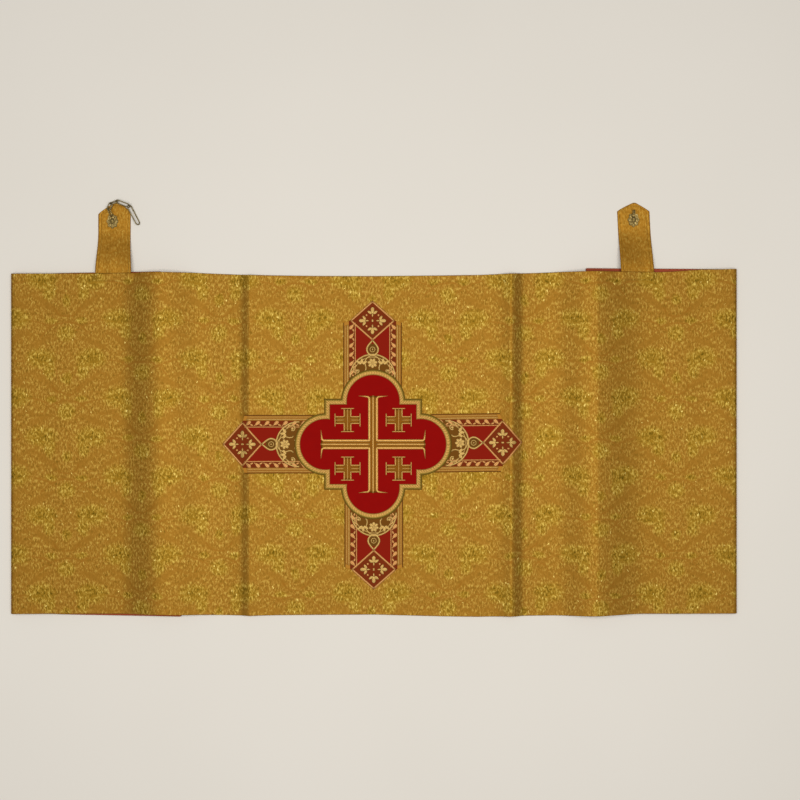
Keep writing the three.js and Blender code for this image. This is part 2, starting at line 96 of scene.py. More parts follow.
FRONT_EDGE_BOTTOM = [
    -270.6, -270.2, -270.2, -270.5, -272.3, -274.3, -273.2, -272.7, -275.6,
    -276.4, -274.8, -273.9, -272.6, -270.2, -270.2, -270.4, -270.2, -269.8,
]
FRONT_EDGE_TOP = [
    274.0, 274.2, 274.8, 275.6, 275.8, 272.2, 270.8, 270.6, 271.6,
    272.4, 274.4, 276.8, 276.9, 276.2, 276.2, 277.2, 280.4, 281.4,
]
# Where each crease lies, its height, how far it falls towards the cross and towards the end,
# and the share of its height that falls evenly over a steep band on the end's side.
# They are higher than on the solid, for the soft light to draw them.
CREASES = [
    dict(x=-343, height=8.6, inward=70, outward=64, soft=True, steep=1.0, band=62),
    dict(x=-199, height=4.5, inward=48, outward=32, soft=False, steep=0.72, band=16),
    dict(x=219, height=7.6, inward=42, outward=44, soft=False, steep=0.72, band=22),
    dict(x=356, height=10.4, inward=70, outward=112, soft=True, steep=0.4, band=80),
]
# The pleats of the edge seam, and the rise over a tab's foot with the width of its slope.
PUCKER = 0.16
PUCKER_WIDTH = 12.0
FOOT_RISE = 1.3
FOOT_SLOPE = 3.5
# The distance between its long edges as it lies, for the rows of points across it.
WIDTH_SHOWN = 545
# The rows of points across each cloth, and the steps along it in front and under the ends.
BROCADE_ROWS = 74
LINING_ROWS = 30
BROCADE_STEP = 4.4
LINING_STEP = 8.0
END_STEP = 9.0
# The number of stations under an end is counted from here outwards.
UNDER_FROM = 350

# The galloon cross.
ARM_HALF_WIDTH = 47.0
ARM_THICK = 0.9
ARM_TIP_ALONG = 32.0
ARM_TIP_ACROSS = 36.0
# How far the woven figures stand out: the finer ones, and the outlines.
LOW_FIGURE = 0.35
HIGH_FIGURE = LOW_FIGURE + 0.1
# Along an arm's sides, the gold rim of its ground and the brown selvedge outside that.
RIM_WIDTH = 9.0
SELVEDGE_WIDTH = 1.6
# The lines along an arm's side: distance from its edge, width and which of the three threads.
SIDE_LINES = [(1.6, 0.9, 2), (3.4, 0.9, 0), (5.1, 0.9, 2), (7.1, 1.5, 0), (9.2, 1.1, 2), (19.4, 1.8, 1)]
ARMS = {
    "right": dict(apex=240.3, turn=0.65, start=94.3, shift=(-2.2, 1.2)),
    "top": dict(apex=231.0, turn=90, start=85.6, shift=(-2.3, 0.0)),
    "left": dict(apex=241.0, turn=180, start=94.3, shift=(-1.9, 0.8)),
    "bottom": dict(apex=232.1, turn=270, start=85.6, shift=(-0.3, 0.0)),
}
ARM_LOW = FACE[1] + GAP
ARM_TOP = ARM_LOW + ARM_THICK

# The medallion, a box with four round lobes, its centre and the braid round it.
EMBLEM = (-1.3, 0.7)
BOX = (69.8, 64.3)
SIDE_LOBE = dict(offset=76.5, radius=41.0)
END_LOBE = dict(offset=68.8, radius=42.8)
MEDALLION_THICK = 2.1
MEDALLION_LOW = FACE[1] + GAP
MEDALLION_TOP = MEDALLION_LOW + MEDALLION_THICK
BRAID_MARGINS = (-0.6, 8.6)
BRAID_THICK = 1.2
WORK_LOW = MEDALLION_TOP + GAP

# The crosses: half sizes, distance of the outer line from the middle, half length of the serif
# and the widths of the outer line, the middle line and the bar.
GREAT_CROSS = dict(reach=(84, 78), rail=6.0, serif=17.6, widths=(4.3, 3.1, 0), flared=True)
SMALL_CROSS = dict(reach=(20.0, 18.5), rail=5.3, serif=10.6, widths=(2.3, 1.5, 1.9), flared=False)
SMALL_GROUND_REACH = (20, 18.4)
SMALL_CROSS_AT = (41.0, 38.9)
# The bend of a flared cross's outer line: its radius, and how far it ends short of the tip.
BEND_RADIUS = 4.2
BEND_SHORT = 1.6
# The signs of a cross's four quarters, beside and above its centre.
QUARTERS = [(-1, -1), (-1, 1), (1, -1), (1, 1)]

# The tabs.
TAB_THICK = 2.0
TAB_WIDTH = 52.0
TAB_TIP_WIDTH = 4.0
TAB_FOOT = 12.0
TABS = {
    "left": dict(x=-417.0, foot=58.0, shoulder_x=-417.0, tip_x=-413.5, tip_y=389.5, drop=(19.5, 15.5)),
    "right": dict(x=421.5, foot=54.0, shoulder_x=416.0, tip_x=418.0, tip_y=388.5, drop=(14.0, 14.0)),
}
TAB_DROOP = (2.0, 72.0)

# The clasp and its chain.
ROSETTE = dict(half_x=9.5, half_y=12.0, thick=1.6, petals=8, scallop=0.16)
ROSETTES = {"left": (-419.7, 358.5), "right": (416.7, 361.0)}
WIRE = 1.6
# The wire is drawn a little thicker than on the solid, as the photograph shows it.
WIRE_SHOWN = 1.95
LINK_PLAY = 0.8
EYE = dict(at=(-421, 367.5, 6), roll=-50, half=3.2)
CHAIN_JOINTS = [
    (-425.2, 378, 6.2),
    (-421, 386.4, 6),
    (-412, 390, 6),
    (-392.5, 382.6, 6),
    (-378.3, 354.5, 3.7),
]
CHAIN_LINKS = [
    ("chain_link_1", 50, 3.2),
    ("chain_link_2", -50, 3.2),
    ("chain_link_3", 50, 3.6),
    ("chain_end_link", -45, 3.7),
]

# The stage. Sizes are in metres, but the table's half side is in millimetres. The photograph's
# middle and the cross's place in it are in pixels.
TABLE_HALF = 2600.0
LAMP_SIZE = (2.85, 1.75)
LAMP_AT = (0.03, 0.02, 2.6)
LAMP_COLOUR = (1.0, 0.975, 0.94)
ROOM_COLOUR = (0.96, 0.97, 1.0, 1.0)
ROOM_STRENGTH = 0.22
LENS = 50
SENSOR = 36
PHOTO_MIDDLE = (400, 400)
CROSS_PIXEL = (374, 444.6)


def mix(a, b, t):
    return a + (b - a) * t


def smooth(t):
    """Smooth step: 0 below 0, 1 above 1, and 3t^2 - 2t^3 between."""
    t = np.clip(t, 0.0, 1.0)
    return t * t * (3 - 2 * t)


def rounding(distance, radius):
    """Quarter circle: 0 at an edge, rising to 1 at one radius from it."""
    t = np.clip(distance / radius, 0.0, 1.0)
    return np.sqrt(np.clip(1 - (1 - t) ** 2, 0, 1))


# The veil's surface.


def crease_height(x):
    """Sum of the creases.

    Towards the cross each falls from its crest as (1 - t)^2, or as a smooth step if soft.
    Towards the end a share falls as a smooth step over the steep band, the rest as (1 - t)^2.
    """
    total = np.zeros_like(x)
    for crease in CREASES:
        out = (x - crease["x"]) * math.copysign(1, crease["x"])
        inner = np.clip(-out / crease["inward"], 0, 1)
        inner = 1 - smooth(inner) if crease["soft"] else (1 - inner) ** 2
        outer = (1 - np.clip(out / crease["outward"], 0, 1)) ** 2
        outer = mix(outer, 1 - smooth(out / crease["band"]), crease["steep"])
        total = total + crease["height"] * np.where(out > 0, outer, inner)
    return total


def undulation(x, y):
    """Soft waves left by folding and handling: three crossed sines, lifted so none is below 0."""
    long_wave = np.sin(x / 47.0 + 1.3 * np.sin(y / 160.0)) * np.sin(y / 83.0 + 0.6)
    short_wave = np.sin(x / 21.0 - y / 64.0 + 1.9) * np.sin(y / 39.0 - x / 150.0)
    away = smooth((np.abs(x) - 120) / 120)
    return 0.22 + 0.14 * long_wave + (0.03 + 0.05 * away) * short_wave


def edge_pucker(x, y, bottom, top):
    """Small pleats drawn in by the edge seam: a sine along the edge that fades away from it."""
    near = np.minimum(y - bottom, top - y)
    wave = np.sin(x / 2.6 + 1.7 * np.sin(x / 19.0)) * np.sin(x / 31.0 + y / 100.0)
    return PUCKER * (1 + wave) * (1 - smooth(near / PUCKER_WIDTH))


def foot_bulge(x, y):
    """The rise of the brocade over the two tab feet sewn in under its edge, with soft sides."""
    total = np.zeros_like(x)
    for tab in TABS.values():
        beside = tab["foot"] / 2 - np.abs(x - tab["x"])
        inside = y - (np.interp(tab["x"], FRONT_EDGE_X, FRONT_EDGE_TOP) - TAB_FOOT)
        total = total + FOOT_RISE * smooth(beside / FOOT_SLOPE + 0.6) * smooth(inside / FOOT_SLOPE + 0.6)
    return total


def front_z(x, row):
    """Front height: the table in the middle, lifted over the folded ends, plus the creases."""
    end = x > 0
    tip_low = np.where(end, ENDS["right"]["tip"][0], ENDS["left"]["tip"][0])
    tip_high = np.where(end, ENDS["right"]["tip"][1], ENDS["left"]["tip"][1])
    tip = mix(tip_low, tip_high, row)
    out = np.abs(x)
    lift = smooth((out - (tip - RISE_LENGTH)) / (RISE_LENGTH + 5))
    sunk = smooth((out - tip - 5) / 60)
    level = mix(TABLE_Z, mix(OVER_TIP_Z, OVER_STACK_Z, sunk), lift)
    at_fold = smooth((out - SETTLE_FROM) / (FOLD_START - SETTLE_FROM))
    return level + crease_height(x) + (OUTER_FOLD_TOP - OVER_STACK_Z) * at_fold


def front_edges(x):
    return (
        np.interp(x, FRONT_EDGE_X, FRONT_EDGE_BOTTOM),
        np.interp(x, FRONT_EDGE_X, FRONT_EDGE_TOP),
    )


def veil_z(x, y):
    """Height of the surface between the two cloths of the front, at a point of the plan."""
    x, y = np.broadcast_arrays(np.asarray(x, float), np.asarray(y, float))
    bottom, top = front_edges(x)
    row = np.clip((y - bottom) / (top - bottom), 0, 1)
    free = 1 - smooth((np.abs(x) - 540) / 30)
    ripple = undulation(x, y) + edge_pucker(x, y, bottom, top) + foot_bulge(x, y)
    return front_z(x, row) + ripple * free


def end_stations(end, row):
    """The layers under one end, from the outer fold in to the inner fold and out to the hem.

    Each layer is straight in plan, and each fold is a half circle in X and Z.
    """
    inner = mix(end["tip"][0], end["tip"][1], row) + INNER_FOLD_R
    inner_top = TABLE_Z + 2 * INNER_FOLD_R
    zero = np.zeros_like(row)
    layers = []

    angle = np.radians(np.linspace(76, -90, 13))[:, None]
    middle = (OUTER_FOLD_TOP + OUTER_FOLD_BOTTOM) / 2
    layers.append((FOLD_START + OUTER_FOLD_R * np.cos(angle) + zero,
                   middle + OUTER_FOLD_R * np.sin(angle) + zero, zero + 0 * angle, 0 * angle + zero))

    share = np.linspace(0, 1, int((FOLD_START - UNDER_FROM) / END_STEP))[1:-1, None]
    out = mix(FOLD_START, inner, share)
    over_hem = smooth((end["hem"] + 26 - out) / 22)
    near_tip = smooth((inner + 55 - out) / 55)
    z = mix(OUTER_FOLD_BOTTOM, MIDDLE_Z, over_hem) + (inner_top - MIDDLE_Z) * near_tip
    layers.append((out, z, share + zero, 0 * share + zero))

    angle = np.radians(np.linspace(90, 270, 15))[:, None]
    layers.append((inner + INNER_FOLD_R * np.cos(angle),
                   TABLE_Z + INNER_FOLD_R * (1 + np.sin(angle)) + zero, 1 + 0 * angle + zero,
                   0 * angle + zero))

    share = np.linspace(0, 1, int((end["hem"] - UNDER_FROM) / END_STEP))[1:, None]
    layers.append((mix(inner, end["hem"], share), TABLE_Z + 0 * share + zero,
                   1 + 0 * share + zero, share * HEM_LAYER_INSET + zero))

    out, z, share, inset = (np.concatenate(parts) for parts in zip(*layers))
    fold_bottom, fold_top = front_edges(end["way"] * FRONT_HALF)
    bottom = mix(fold_bottom, end["edge"][0], share) + inset
    top = mix(fold_top, end["edge"][1], share) - inset
    return np.stack([end["way"] * out, mix(bottom, top, row), z], axis=-1)


def sheet_grid(row, step):
    """The whole sheet, hem to hem: points, unit normals and arc length, each station by row."""
    xs = np.linspace(-FOLD_START, FOLD_START, int(2 * FOLD_START / step))
    creases = [crease["x"] for crease in CREASES]
    xs = np.unique(np.concatenate([xs, creases]))[:, None]
    bottom, top = front_edges(xs)
    y = mix(bottom, top, row)
    front = np.stack([xs + 0 * y, y, veil_z(xs, y)], axis=-1)
    left = end_stations(ENDS["left"], row)[::-1]
    right = end_stations(ENDS["right"], row)
    points = np.concatenate([left, front, right])
    along = np.gradient(points, axis=0)
    along[..., 1] = 0
    along /= np.linalg.norm(along, axis=-1, keepdims=True)
    normals = np.stack([-along[..., 2], 0 * along[..., 0], along[..., 0]], axis=-1)
    steps = np.linalg.norm(np.diff(points, axis=0), axis=-1)
    length = np.concatenate([np.zeros((1, len(row))), np.cumsum(steps, axis=0)])
    centre = len(left) + int(np.argmin(np.abs(xs)))
    return points, normals, length - length[centre]


def edge_rows(count):
    """Rows from 0 to 1, even in the middle and closer at both edges, where the cloth turns in."""
    close = np.array([0, 0.35, 0.8, 1.4, 2.4, 4.0]) / WIDTH_SHOWN
    seam = 1 - np.arange(4.0, 23.0, 1.9) / WIDTH_SHOWN
    even = np.linspace(close[-1], seam[-1], count)[:-1]
    return np.concatenate([close[:-1], even, seam[::-1], 1 - close[:-1][::-1]])


# Meshes.


def make_object(name, vertices, faces, uv=None):
    """A mesh object from arrays, with normals outwards. uv is one pair for each vertex."""
    mesh = bpy.data.meshes.new(name)
    flat = [index for face in faces for index in face] if isinstance(faces, list) else faces.ravel()
    sizes = [len(face) for face in faces] if isinstance(faces, list) else [faces.shape[1]] * len(faces)
    loops = np.asarray(flat, dtype=np.int32)
    totals = np.asarray(sizes, dtype=np.int32)
    mesh.vertices.add(len(vertices))
    mesh.vertices.foreach_set("co", (np.asarray(vertices, dtype=np.float64) * MM).ravel())
    mesh.loops.add(len(loops))
    mesh.loops.foreach_set("vertex_index", loops)
    mesh.polygons.add(len(totals))
    mesh.polygons.foreach_set("loop_start", np.cumsum(totals) - totals)
    mesh.polygons.foreach_set("loop_total", totals)
    mesh.polygons.foreach_set("use_smooth", np.full(len(totals), True))
    mesh.update(calc_edges=True)
    if uv is not None:
        layer = mesh.uv_layers.new(name="Cloth")
        layer.data.foreach_set("uv", (np.asarray(uv)[loops] * MM).ravel())
    shape = bmesh.new()
    shape.from_mesh(mesh)
    bmesh.ops.recalc_face_normals(shape, faces=shape.faces)
    shape.to_mesh(mesh)
    shape.free()
    mesh.validate()
    made = bpy.data.objects.new(name, mesh)
    bpy.context.collection.objects.link(made)
    return made


def slab(upper, lower):
    """Vertices and faces of a closed solid between two grids of points of one shape."""
    n, m = upper.shape[:2]
    vertices = np.concatenate([upper.reshape(-1, 3), lower.reshape(-1, 3)])
    index = np.arange(n * m).reshape(n, m)
    a, b, c, d = index[:-1, :-1], index[1:, :-1], index[1:, 1:], index[:-1, 1:]
    top = np.stack([a, b, c, d], axis=-1).reshape(-1, 4)
    bottom = top[:, ::-1] + n * m
    rim = np.concatenate([index[:, 0], index[-1, 1:], index[-2::-1, -1], index[0, -2:0:-1]])
    after = np.roll(rim, -1)
    wall = np.stack([rim + n * m, after + n * m, after, rim], axis=-1)
    return vertices, np.concatenate([top, bottom, wall])


def make_cloth(name, upper, lower, *place):
    """A piece between two grids of points. Both sides have the same place on the flat cloth."""
    uv = np.stack(place, axis=-1).reshape(-1, 2)
    return make_object(name, *slab(upper, lower), np.concatenate([uv, uv]))


def ring_faces(count, sides):
    """The point numbers of closed rings laid one after another, and the faces between them."""
    index = np.arange(count * sides).reshape(count, sides)
    following = np.roll(index, -1, axis=1)
    faces = np.stack([index[:-1], following[:-1], following[1:], index[1:]], -1).reshape(-1, 4)
    return index, faces


def ring_slab(rings):
    """Vertices and faces of closed loops joined one to the next, the last joined to the first."""
    n, m = rings.shape[:2]
    index = np.arange(n * m).reshape(n, m)
    following = np.roll(index, -1, axis=0)
    faces = np.stack([index, np.roll(index, -1, axis=1), np.roll(following, -1, axis=1), following], -1)
    return rings.reshape(-1, 3), faces.reshape(-1, 4)


class Pile:
    """Collects many small closed shapes that are worked on one surface, to make one mesh."""

    def __init__(self, surface, place):
        self.surface = surface
        self.place = place
        self.vertices = []
        self.uv = []
        self.faces = []
        self.tones = []
        self.tone = 0
        self.count = 0

    def add(self, x, y, lift, uv, faces):
        wx, wy = self.place(x, y)
        z = self.surface(wx, wy) + lift
        self.vertices.append(np.stack([wx.ravel(), wy.ravel(), z.ravel()], axis=-1))
        self.uv.append(uv.reshape(-1, 2))
        self.faces += [[index + self.count for index in face] for face in faces]
        self.tones += [self.tone] * len(faces)
        self.count += x.size

    def stroke(self, path, width, height, closed=False):
        """A thread line along a plan path: a low rounded section, flat below."""
        path = np.asarray(path, float)
        n = len(path)
        if closed:
            tangent = np.roll(path, -1, axis=0) - np.roll(path, 1, axis=0)
        else:
            tangent = np.gradient(path, axis=0)
        tangent /= np.linalg.norm(tangent, axis=-1, keepdims=True)
        side = np.stack([-tangent[:, 1], tangent[:, 0]], axis=-1)
        across = np.array([-1, -0.7, 0, 0.7, 1.0])
        rise = np.array([-0.1, 0.72, 1, 0.72, -0.1])
        half = np.broadcast_to(np.asarray(width, float) / 2, (n,))
        high = np.broadcast_to(np.asarray(height, float), (n,))
        x = path[:, :1] + side[:, :1] * across * half[:, None]
        y = path[:, 1:] + side[:, 1:] * across * half[:, None]
        run = np.concatenate([[0], np.cumsum(np.linalg.norm(np.diff(path, axis=0), axis=-1))])
        uv = np.stack(np.broadcast_arrays(run[:, None], across * half[:, None]), axis=-1)
        index = np.arange(n * 5).reshape(n, 5)
        ends = index if not closed else np.concatenate([index, index[:1]])
        quads = np.stack([ends[:-1], np.roll(ends[:-1], -1, 1), np.roll(ends[1:], -1, 1), ends[1:]], -1)
        faces = quads.reshape(-1, 4).tolist()
        if not closed:
            faces += [index[0].tolist(), index[-1][::-1].tolist()]
        self.add(x, y, rise * high[:, None], uv, faces)

    def petal(self, centre, size, turn=0.0, height=0.4, waist=0.0, steps=14):
        """A filled leaf or bud: an oval, narrowed towards one end by waist, domed to its middle."""
        angle = np.linspace(0, 2 * np.pi, steps, endpoint=False)
        along = size[0] * np.cos(angle)
        over = size[1] * np.sin(angle) * (1 - waist * np.cos(angle))
        outline = np.stack([along * math.cos(turn) - over * math.sin(turn),
                            along * math.sin(turn) + over * math.cos(turn)], axis=-1)
        rings = np.array([1.0, 0.8, 0.4])
        x = centre[0] + rings[:, None] * outline[:, 0]
        y = centre[1] + rings[:, None] * outline[:, 1]
        lift = height * np.array([-0.1, 0.7, 1.0])[:, None] + 0 * x
        index, faces = ring_faces(len(rings), steps)
        faces = faces.tolist() + [index[-1].tolist(), index[0][::-1].tolist()]
        uv = np.stack([rings[:, None] * along, rings[:, None] * over], axis=-1)
        self.add(x, y, lift, uv, faces)

    def object(self, name):
        made = make_object(name, np.concatenate(self.vertices), self.faces, np.concatenate(self.uv))
        made.data.polygons.foreach_set("material_index", self.tones)
        return made


def line(*corners, step=4.0):
    """Points along straight runs between corners, about one step apart."""
    corners = [np.asarray(corner, float) for corner in corners]
    parts = []
    for a, b in zip(corners, corners[1:]):
        count = max(2, int(np.linalg.norm(b - a) / step) + 1)
        parts.append(a + (b - a) * np.linspace(0, 1, count, endpoint=False)[:, None])
    return np.concatenate(parts + [corners[-1][None]])


def arc(centre, radius, start, finish, count=24):
    """Points along part of a circle, its angles in degrees."""
    angle = np.radians(np.linspace(start, finish, count))
    return np.stack([centre[0] + radius * np.cos(angle), centre[1] + radius * np.sin(angle)], axis=-1)


def settle(piece, material, slot, *nodes):
    """Gives a piece its finish, fastens it to the part and hides the solids that it stands for."""
    piece.data.materials.append(material)
    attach(piece, "root")
    if nodes:
        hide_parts(*nodes)
    return piece


# Materials.


def linear(code):
    """An sRGB hex colour as linear RGBA."""
    channels = [int(code[k : k + 2], 16) / 255 for k in (1, 3, 5)]
    lit = [c / 12.92 if c <= 0.04045 else ((c + 0.055) / 1.055) ** 2.4 for c in channels]
    return (*lit, 1.0)


def node(tree, kind, inputs=None, out=0, **settings):
    """Adds a node. An input takes a value or a socket. Gives one output, or all if out is None."""
    made = tree.nodes.new(kind)
    for key, value in settings.items():
        setattr(made, key, value)
    for key, value in (inputs or {}).items():
        if isinstance(value, bpy.types.NodeSocket):
            tree.links.new(value, made.inputs[key])
        else:
            made.inputs[key].default_value = value
    return made.outputs if out is None else made.outputs[out]


def new_material(name):
    material = bpy.data.materials.new(name)
    material.use_nodes = True
    material.node_tree.nodes.clear()
    return material, material.node_tree


def cloth_place(tree):
    """A point of the flat cloth in millimetres, from the piece's own UV map."""
    uv = node(tree, "ShaderNodeUVMap", uv_map="Cloth")
    return node(tree, "ShaderNodeVectorMath", {0: uv, 1: (1000, 1000, 0)}, operation="MULTIPLY")


def finish_material(tree, surface, height=None, relief=(0.0, 0.0)):
    """Ends a material with its shader. relief is the bump's strength and depth in millimetres."""
    if height is not None:
        surface["Normal"] = node(tree, "ShaderNodeBump", {
            "Strength": relief[0], "Distance": relief[1] * MM, "Height": height})
    shader = node(tree, "ShaderNodeBsdfPrincipled", surface)
    node(tree, "ShaderNodeOutputMaterial", {"Surface": shader}, out=None)


# The contrast of the strips where the brocade shows no figure.
PLAIN_DEPTH = 1.8
# A wave texture of this scale repeats once a millimetre, on coordinates in millimetres.
RIB_SCALE = math.pi / 20

# One repeat of the damask figure. A second one is laid half a repeat up and across.
REPEAT = (246.0, 125.4)
# Each blot: its centre beside and above the axis point, its half sizes and its turn in degrees.
BLOTS = {
    "Floret": [
        (40.2, 42.6, 23, 15, 0),
        (27.3, 25.7, 9.6, 15, 0),
        (98.9, 40.2, 9, 5, 0),
        (0, -43.4, 13, 12, 0),
        (0, 10.5, 7, 9, 0),
    ],
    "Eye": [
        (40.2, 42.6, 10.5, 7.5, 0),
        (22.0, 41.0, 5.0, 4.4, 0),
        (0, 12.4, 4.4, 5.6, 0),
        (98.9, 40.2, 4.0, 3.0, 0),
    ],
    "Streak": [
        (32.2, 3.6, 30, 5.0, 35.6),
        (81.2, 6.4, 25, 4.6, 24),
        (60.0, 18.0, 16, 3.0, -20),
    ],
}
# Each arch line: the circle's centre and radius, and the height that it keeps above or below.
ARCHES = [
    (0, -73, 47.4, -48, 1),
    (0, 6.4, 22.5, -1, -1),
    (61.5, -30, 70.0, 22, 1),
]
# Where each kind of part begins to show and where it is full, as shares of a blot's size or, for
# an arch, in millimetres from its line.
FIGURE_EDGES = {"Floret": (1.4, 0.6), "Eye": (1.3, 0.6), "Streak": (1.4, 0.5), "Arch": (1.9, 0.5)}


def blots(tree, spot, table, nearest):
    """Distance to the nearest blot of a table, as a share of the blot's own size."""
    for x, y, rx, ry, turn in table:
        own = node(tree, "ShaderNodeMapping", {
            "Vector": spot, "Location": (x, y, 0), "Rotation": (0, 0, math.radians(turn)),
            "Scale": (rx, ry, 1)}, vector_type="TEXTURE")
        far = node(tree, "ShaderNodeVectorMath", {0: own}, out="Value", operation="LENGTH")
        if nearest is not None:
            far = node(tree, "ShaderNodeMath", {0: nearest, 1: far}, operation="MINIMUM")
        nearest = far
    return nearest


def arches(tree, spot, nearest):
    """Distance in millimetres to the nearest arch line."""
    height = node(tree, "ShaderNodeSeparateXYZ", {0: spot}, out="Y")
    for x, y, radius, limit, way in ARCHES:
        ring = node(tree, "ShaderNodeVectorMath", {0: spot, 1: (x, y, 0)}, out="Value",
                    operation="DISTANCE")
        ring = node(tree, "ShaderNodeMath", {0: ring, 1: radius}, operation="SUBTRACT")
        ring = node(tree, "ShaderNodeMath", {0: ring}, operation="ABSOLUTE")
        past = node(tree, "ShaderNodeMath", {0: height, 1: -way, 2: way * limit}, operation="MULTIPLY_ADD")
        past = node(tree, "ShaderNodeMath", {0: past, 1: 0.0}, operation="MAXIMUM")
        ring = node(tree, "ShaderNodeMath", {0: ring, 1: past}, operation="ADD")
        if nearest is not None:
            ring = node(tree, "ShaderNodeMath", {0: nearest, 1: ring}, operation="MINIMUM")
        nearest = ring
    return nearest


def figure_group():
    """Node group: how strongly a point of the cloth lies in each kind of part of the figure."""
    tree = bpy.data.node_groups.new("Damask figure", "ShaderNodeTree")
    tree.interface.new_socket("Point", in_out="INPUT", socket_type="NodeSocketVector")
    for name in FIGURE_EDGES:
        tree.interface.new_socket(name, in_out="OUTPUT", socket_type="NodeSocketFloat")
    point = node(tree, "NodeGroupInput")
    half = (REPEAT[0] / 2, REPEAT[1] / 2, 1)
    low = (-half[0], -half[1], -1)
    near = dict.fromkeys(FIGURE_EDGES)
    for shift in ((0, 0, 0), half):
        moved = node(tree, "ShaderNodeVectorMath", {0: point, 1: shift}, operation="ADD")
        cell = node(tree, "ShaderNodeVectorMath", {0: moved, 1: half, 2: low}, operation="WRAP")
        parts = node(tree, "ShaderNodeSeparateXYZ", {0: cell}, out=None)
        side = node(tree, "ShaderNodeMath", {0: parts["X"]}, operation="ABSOLUTE")
        spot = node(tree, "ShaderNodeCombineXYZ", {"X": side, "Y": parts["Y"]})
        for name, table in BLOTS.items():
            near[name] = blots(tree, spot, table, near[name])
        near["Arch"] = arches(tree, spot, near["Arch"])
    node(tree, "NodeGroupOutput", {
        name: node(tree, "ShaderNodeMapRange", {0: near[name], 1: outer, 2: full},
                   interpolation_type="SMOOTHSTEP")
        for name, (outer, full) in FIGURE_EDGES.items()}, out=None)
    return tree


def figure_parts(tree, place, settings):
    """The figure at a point of the cloth, which drifts from its place by up to 4 mm."""
    drift = node(tree, "ShaderNodeTexNoise", {"Vector": place, "Scale": 0.05, "Detail": 1.0}, out="Color")
    drift = node(tree, "ShaderNodeVectorMath", {0: drift, 1: (8, 8, 0), 2: (-4, -4, 0)},
                 operation="MULTIPLY_ADD")
    drifted = node(tree, "ShaderNodeVectorMath", {0: place, 1: drift}, operation="ADD")
    origin = (settings.figure_x / MM, settings.figure_y / MM, 0)
    point = node(tree, "ShaderNodeVectorMath", {0: drifted, 1: origin}, operation="SUBTRACT")
    return node(tree, "ShaderNodeGroup", {"Point": point}, out=None, node_tree=figure_group())


def figured_level(tree, level, parts):
    """The strips' level: strong in a floret, and faint in a streak or an arch line."""
    depth = node(tree, "ShaderNodeMapRange", {0: parts["Floret"], 3: 2.45, 4: 3.8})
    flat = node(tree, "ShaderNodeMath", {0: parts["Streak"], 1: parts["Arch"]}, operation="MAXIMUM")
    flat = node(tree, "ShaderNodeMapRange", {0: flat, 3: 1.0, 4: 0.4})
    depth = node(tree, "ShaderNodeMath", {0: depth, 1: flat}, operation="MULTIPLY")
    lift = node(tree, "ShaderNodeMath", {0: parts["Floret"], 1: 0.05}, operation="MULTIPLY")
    for part, share in (("Eye", -0.25), ("Streak", -0.08)):
        lift = node(tree, "ShaderNodeMath", {0: parts[part], 1: share, 2: lift},
                    operation="MULTIPLY_ADD")
    return node(tree, "ShaderNodeMath", {0: level, 1: depth, 2: lift}, operation="MULTIPLY_ADD")


def figured_ground(tree, tone, strips, parts):
    """The ground's colour: browner beside the arch lines and more olive in a floret."""
    faint = node(tree, "ShaderNodeMath", {0: strips, 1: 0.32}, operation="SUBTRACT", use_clamp=True)
    faint = node(tree, "ShaderNodeMath", {0: parts["Arch"], 1: faint}, operation="MULTIPLY")
    for part, share, colour in ((faint, 1.7, "#7E4A0C"), (parts["Floret"], 0.5, "#8E721C")):
        share = node(tree, "ShaderNodeMath", {0: part, 1: share}, operation="MULTIPLY")
        tone = node(tree, "ShaderNodeMix", {0: share, 6: tone, 7: linear(colour)}, out=2,
                    data_type="RGBA")
    return tone


def sparks(tree, tone, stretched, parts):
    """A few strips catch the light whole, more of them in a floret."""
    cells = node(tree, "ShaderNodeTexVoronoi", {"Vector": stretched, "Scale": 1.3}, out="Color",
                 voronoi_dimensions="2D")
    random = node(tree, "ShaderNodeSeparateColor", {0: cells}, out="Red")
    chance = node(tree, "ShaderNodeMapRange", {0: parts["Floret"], 3: 0.9988, 4: 0.9945})
    spark = node(tree, "ShaderNodeMath", {0: random, 1: chance}, operation="GREATER_THAN")
    return node(tree, "ShaderNodeMix", {0: spark, 6: tone, 7: linear("#D6BE6A")}, out=2,
                data_type="RGBA")


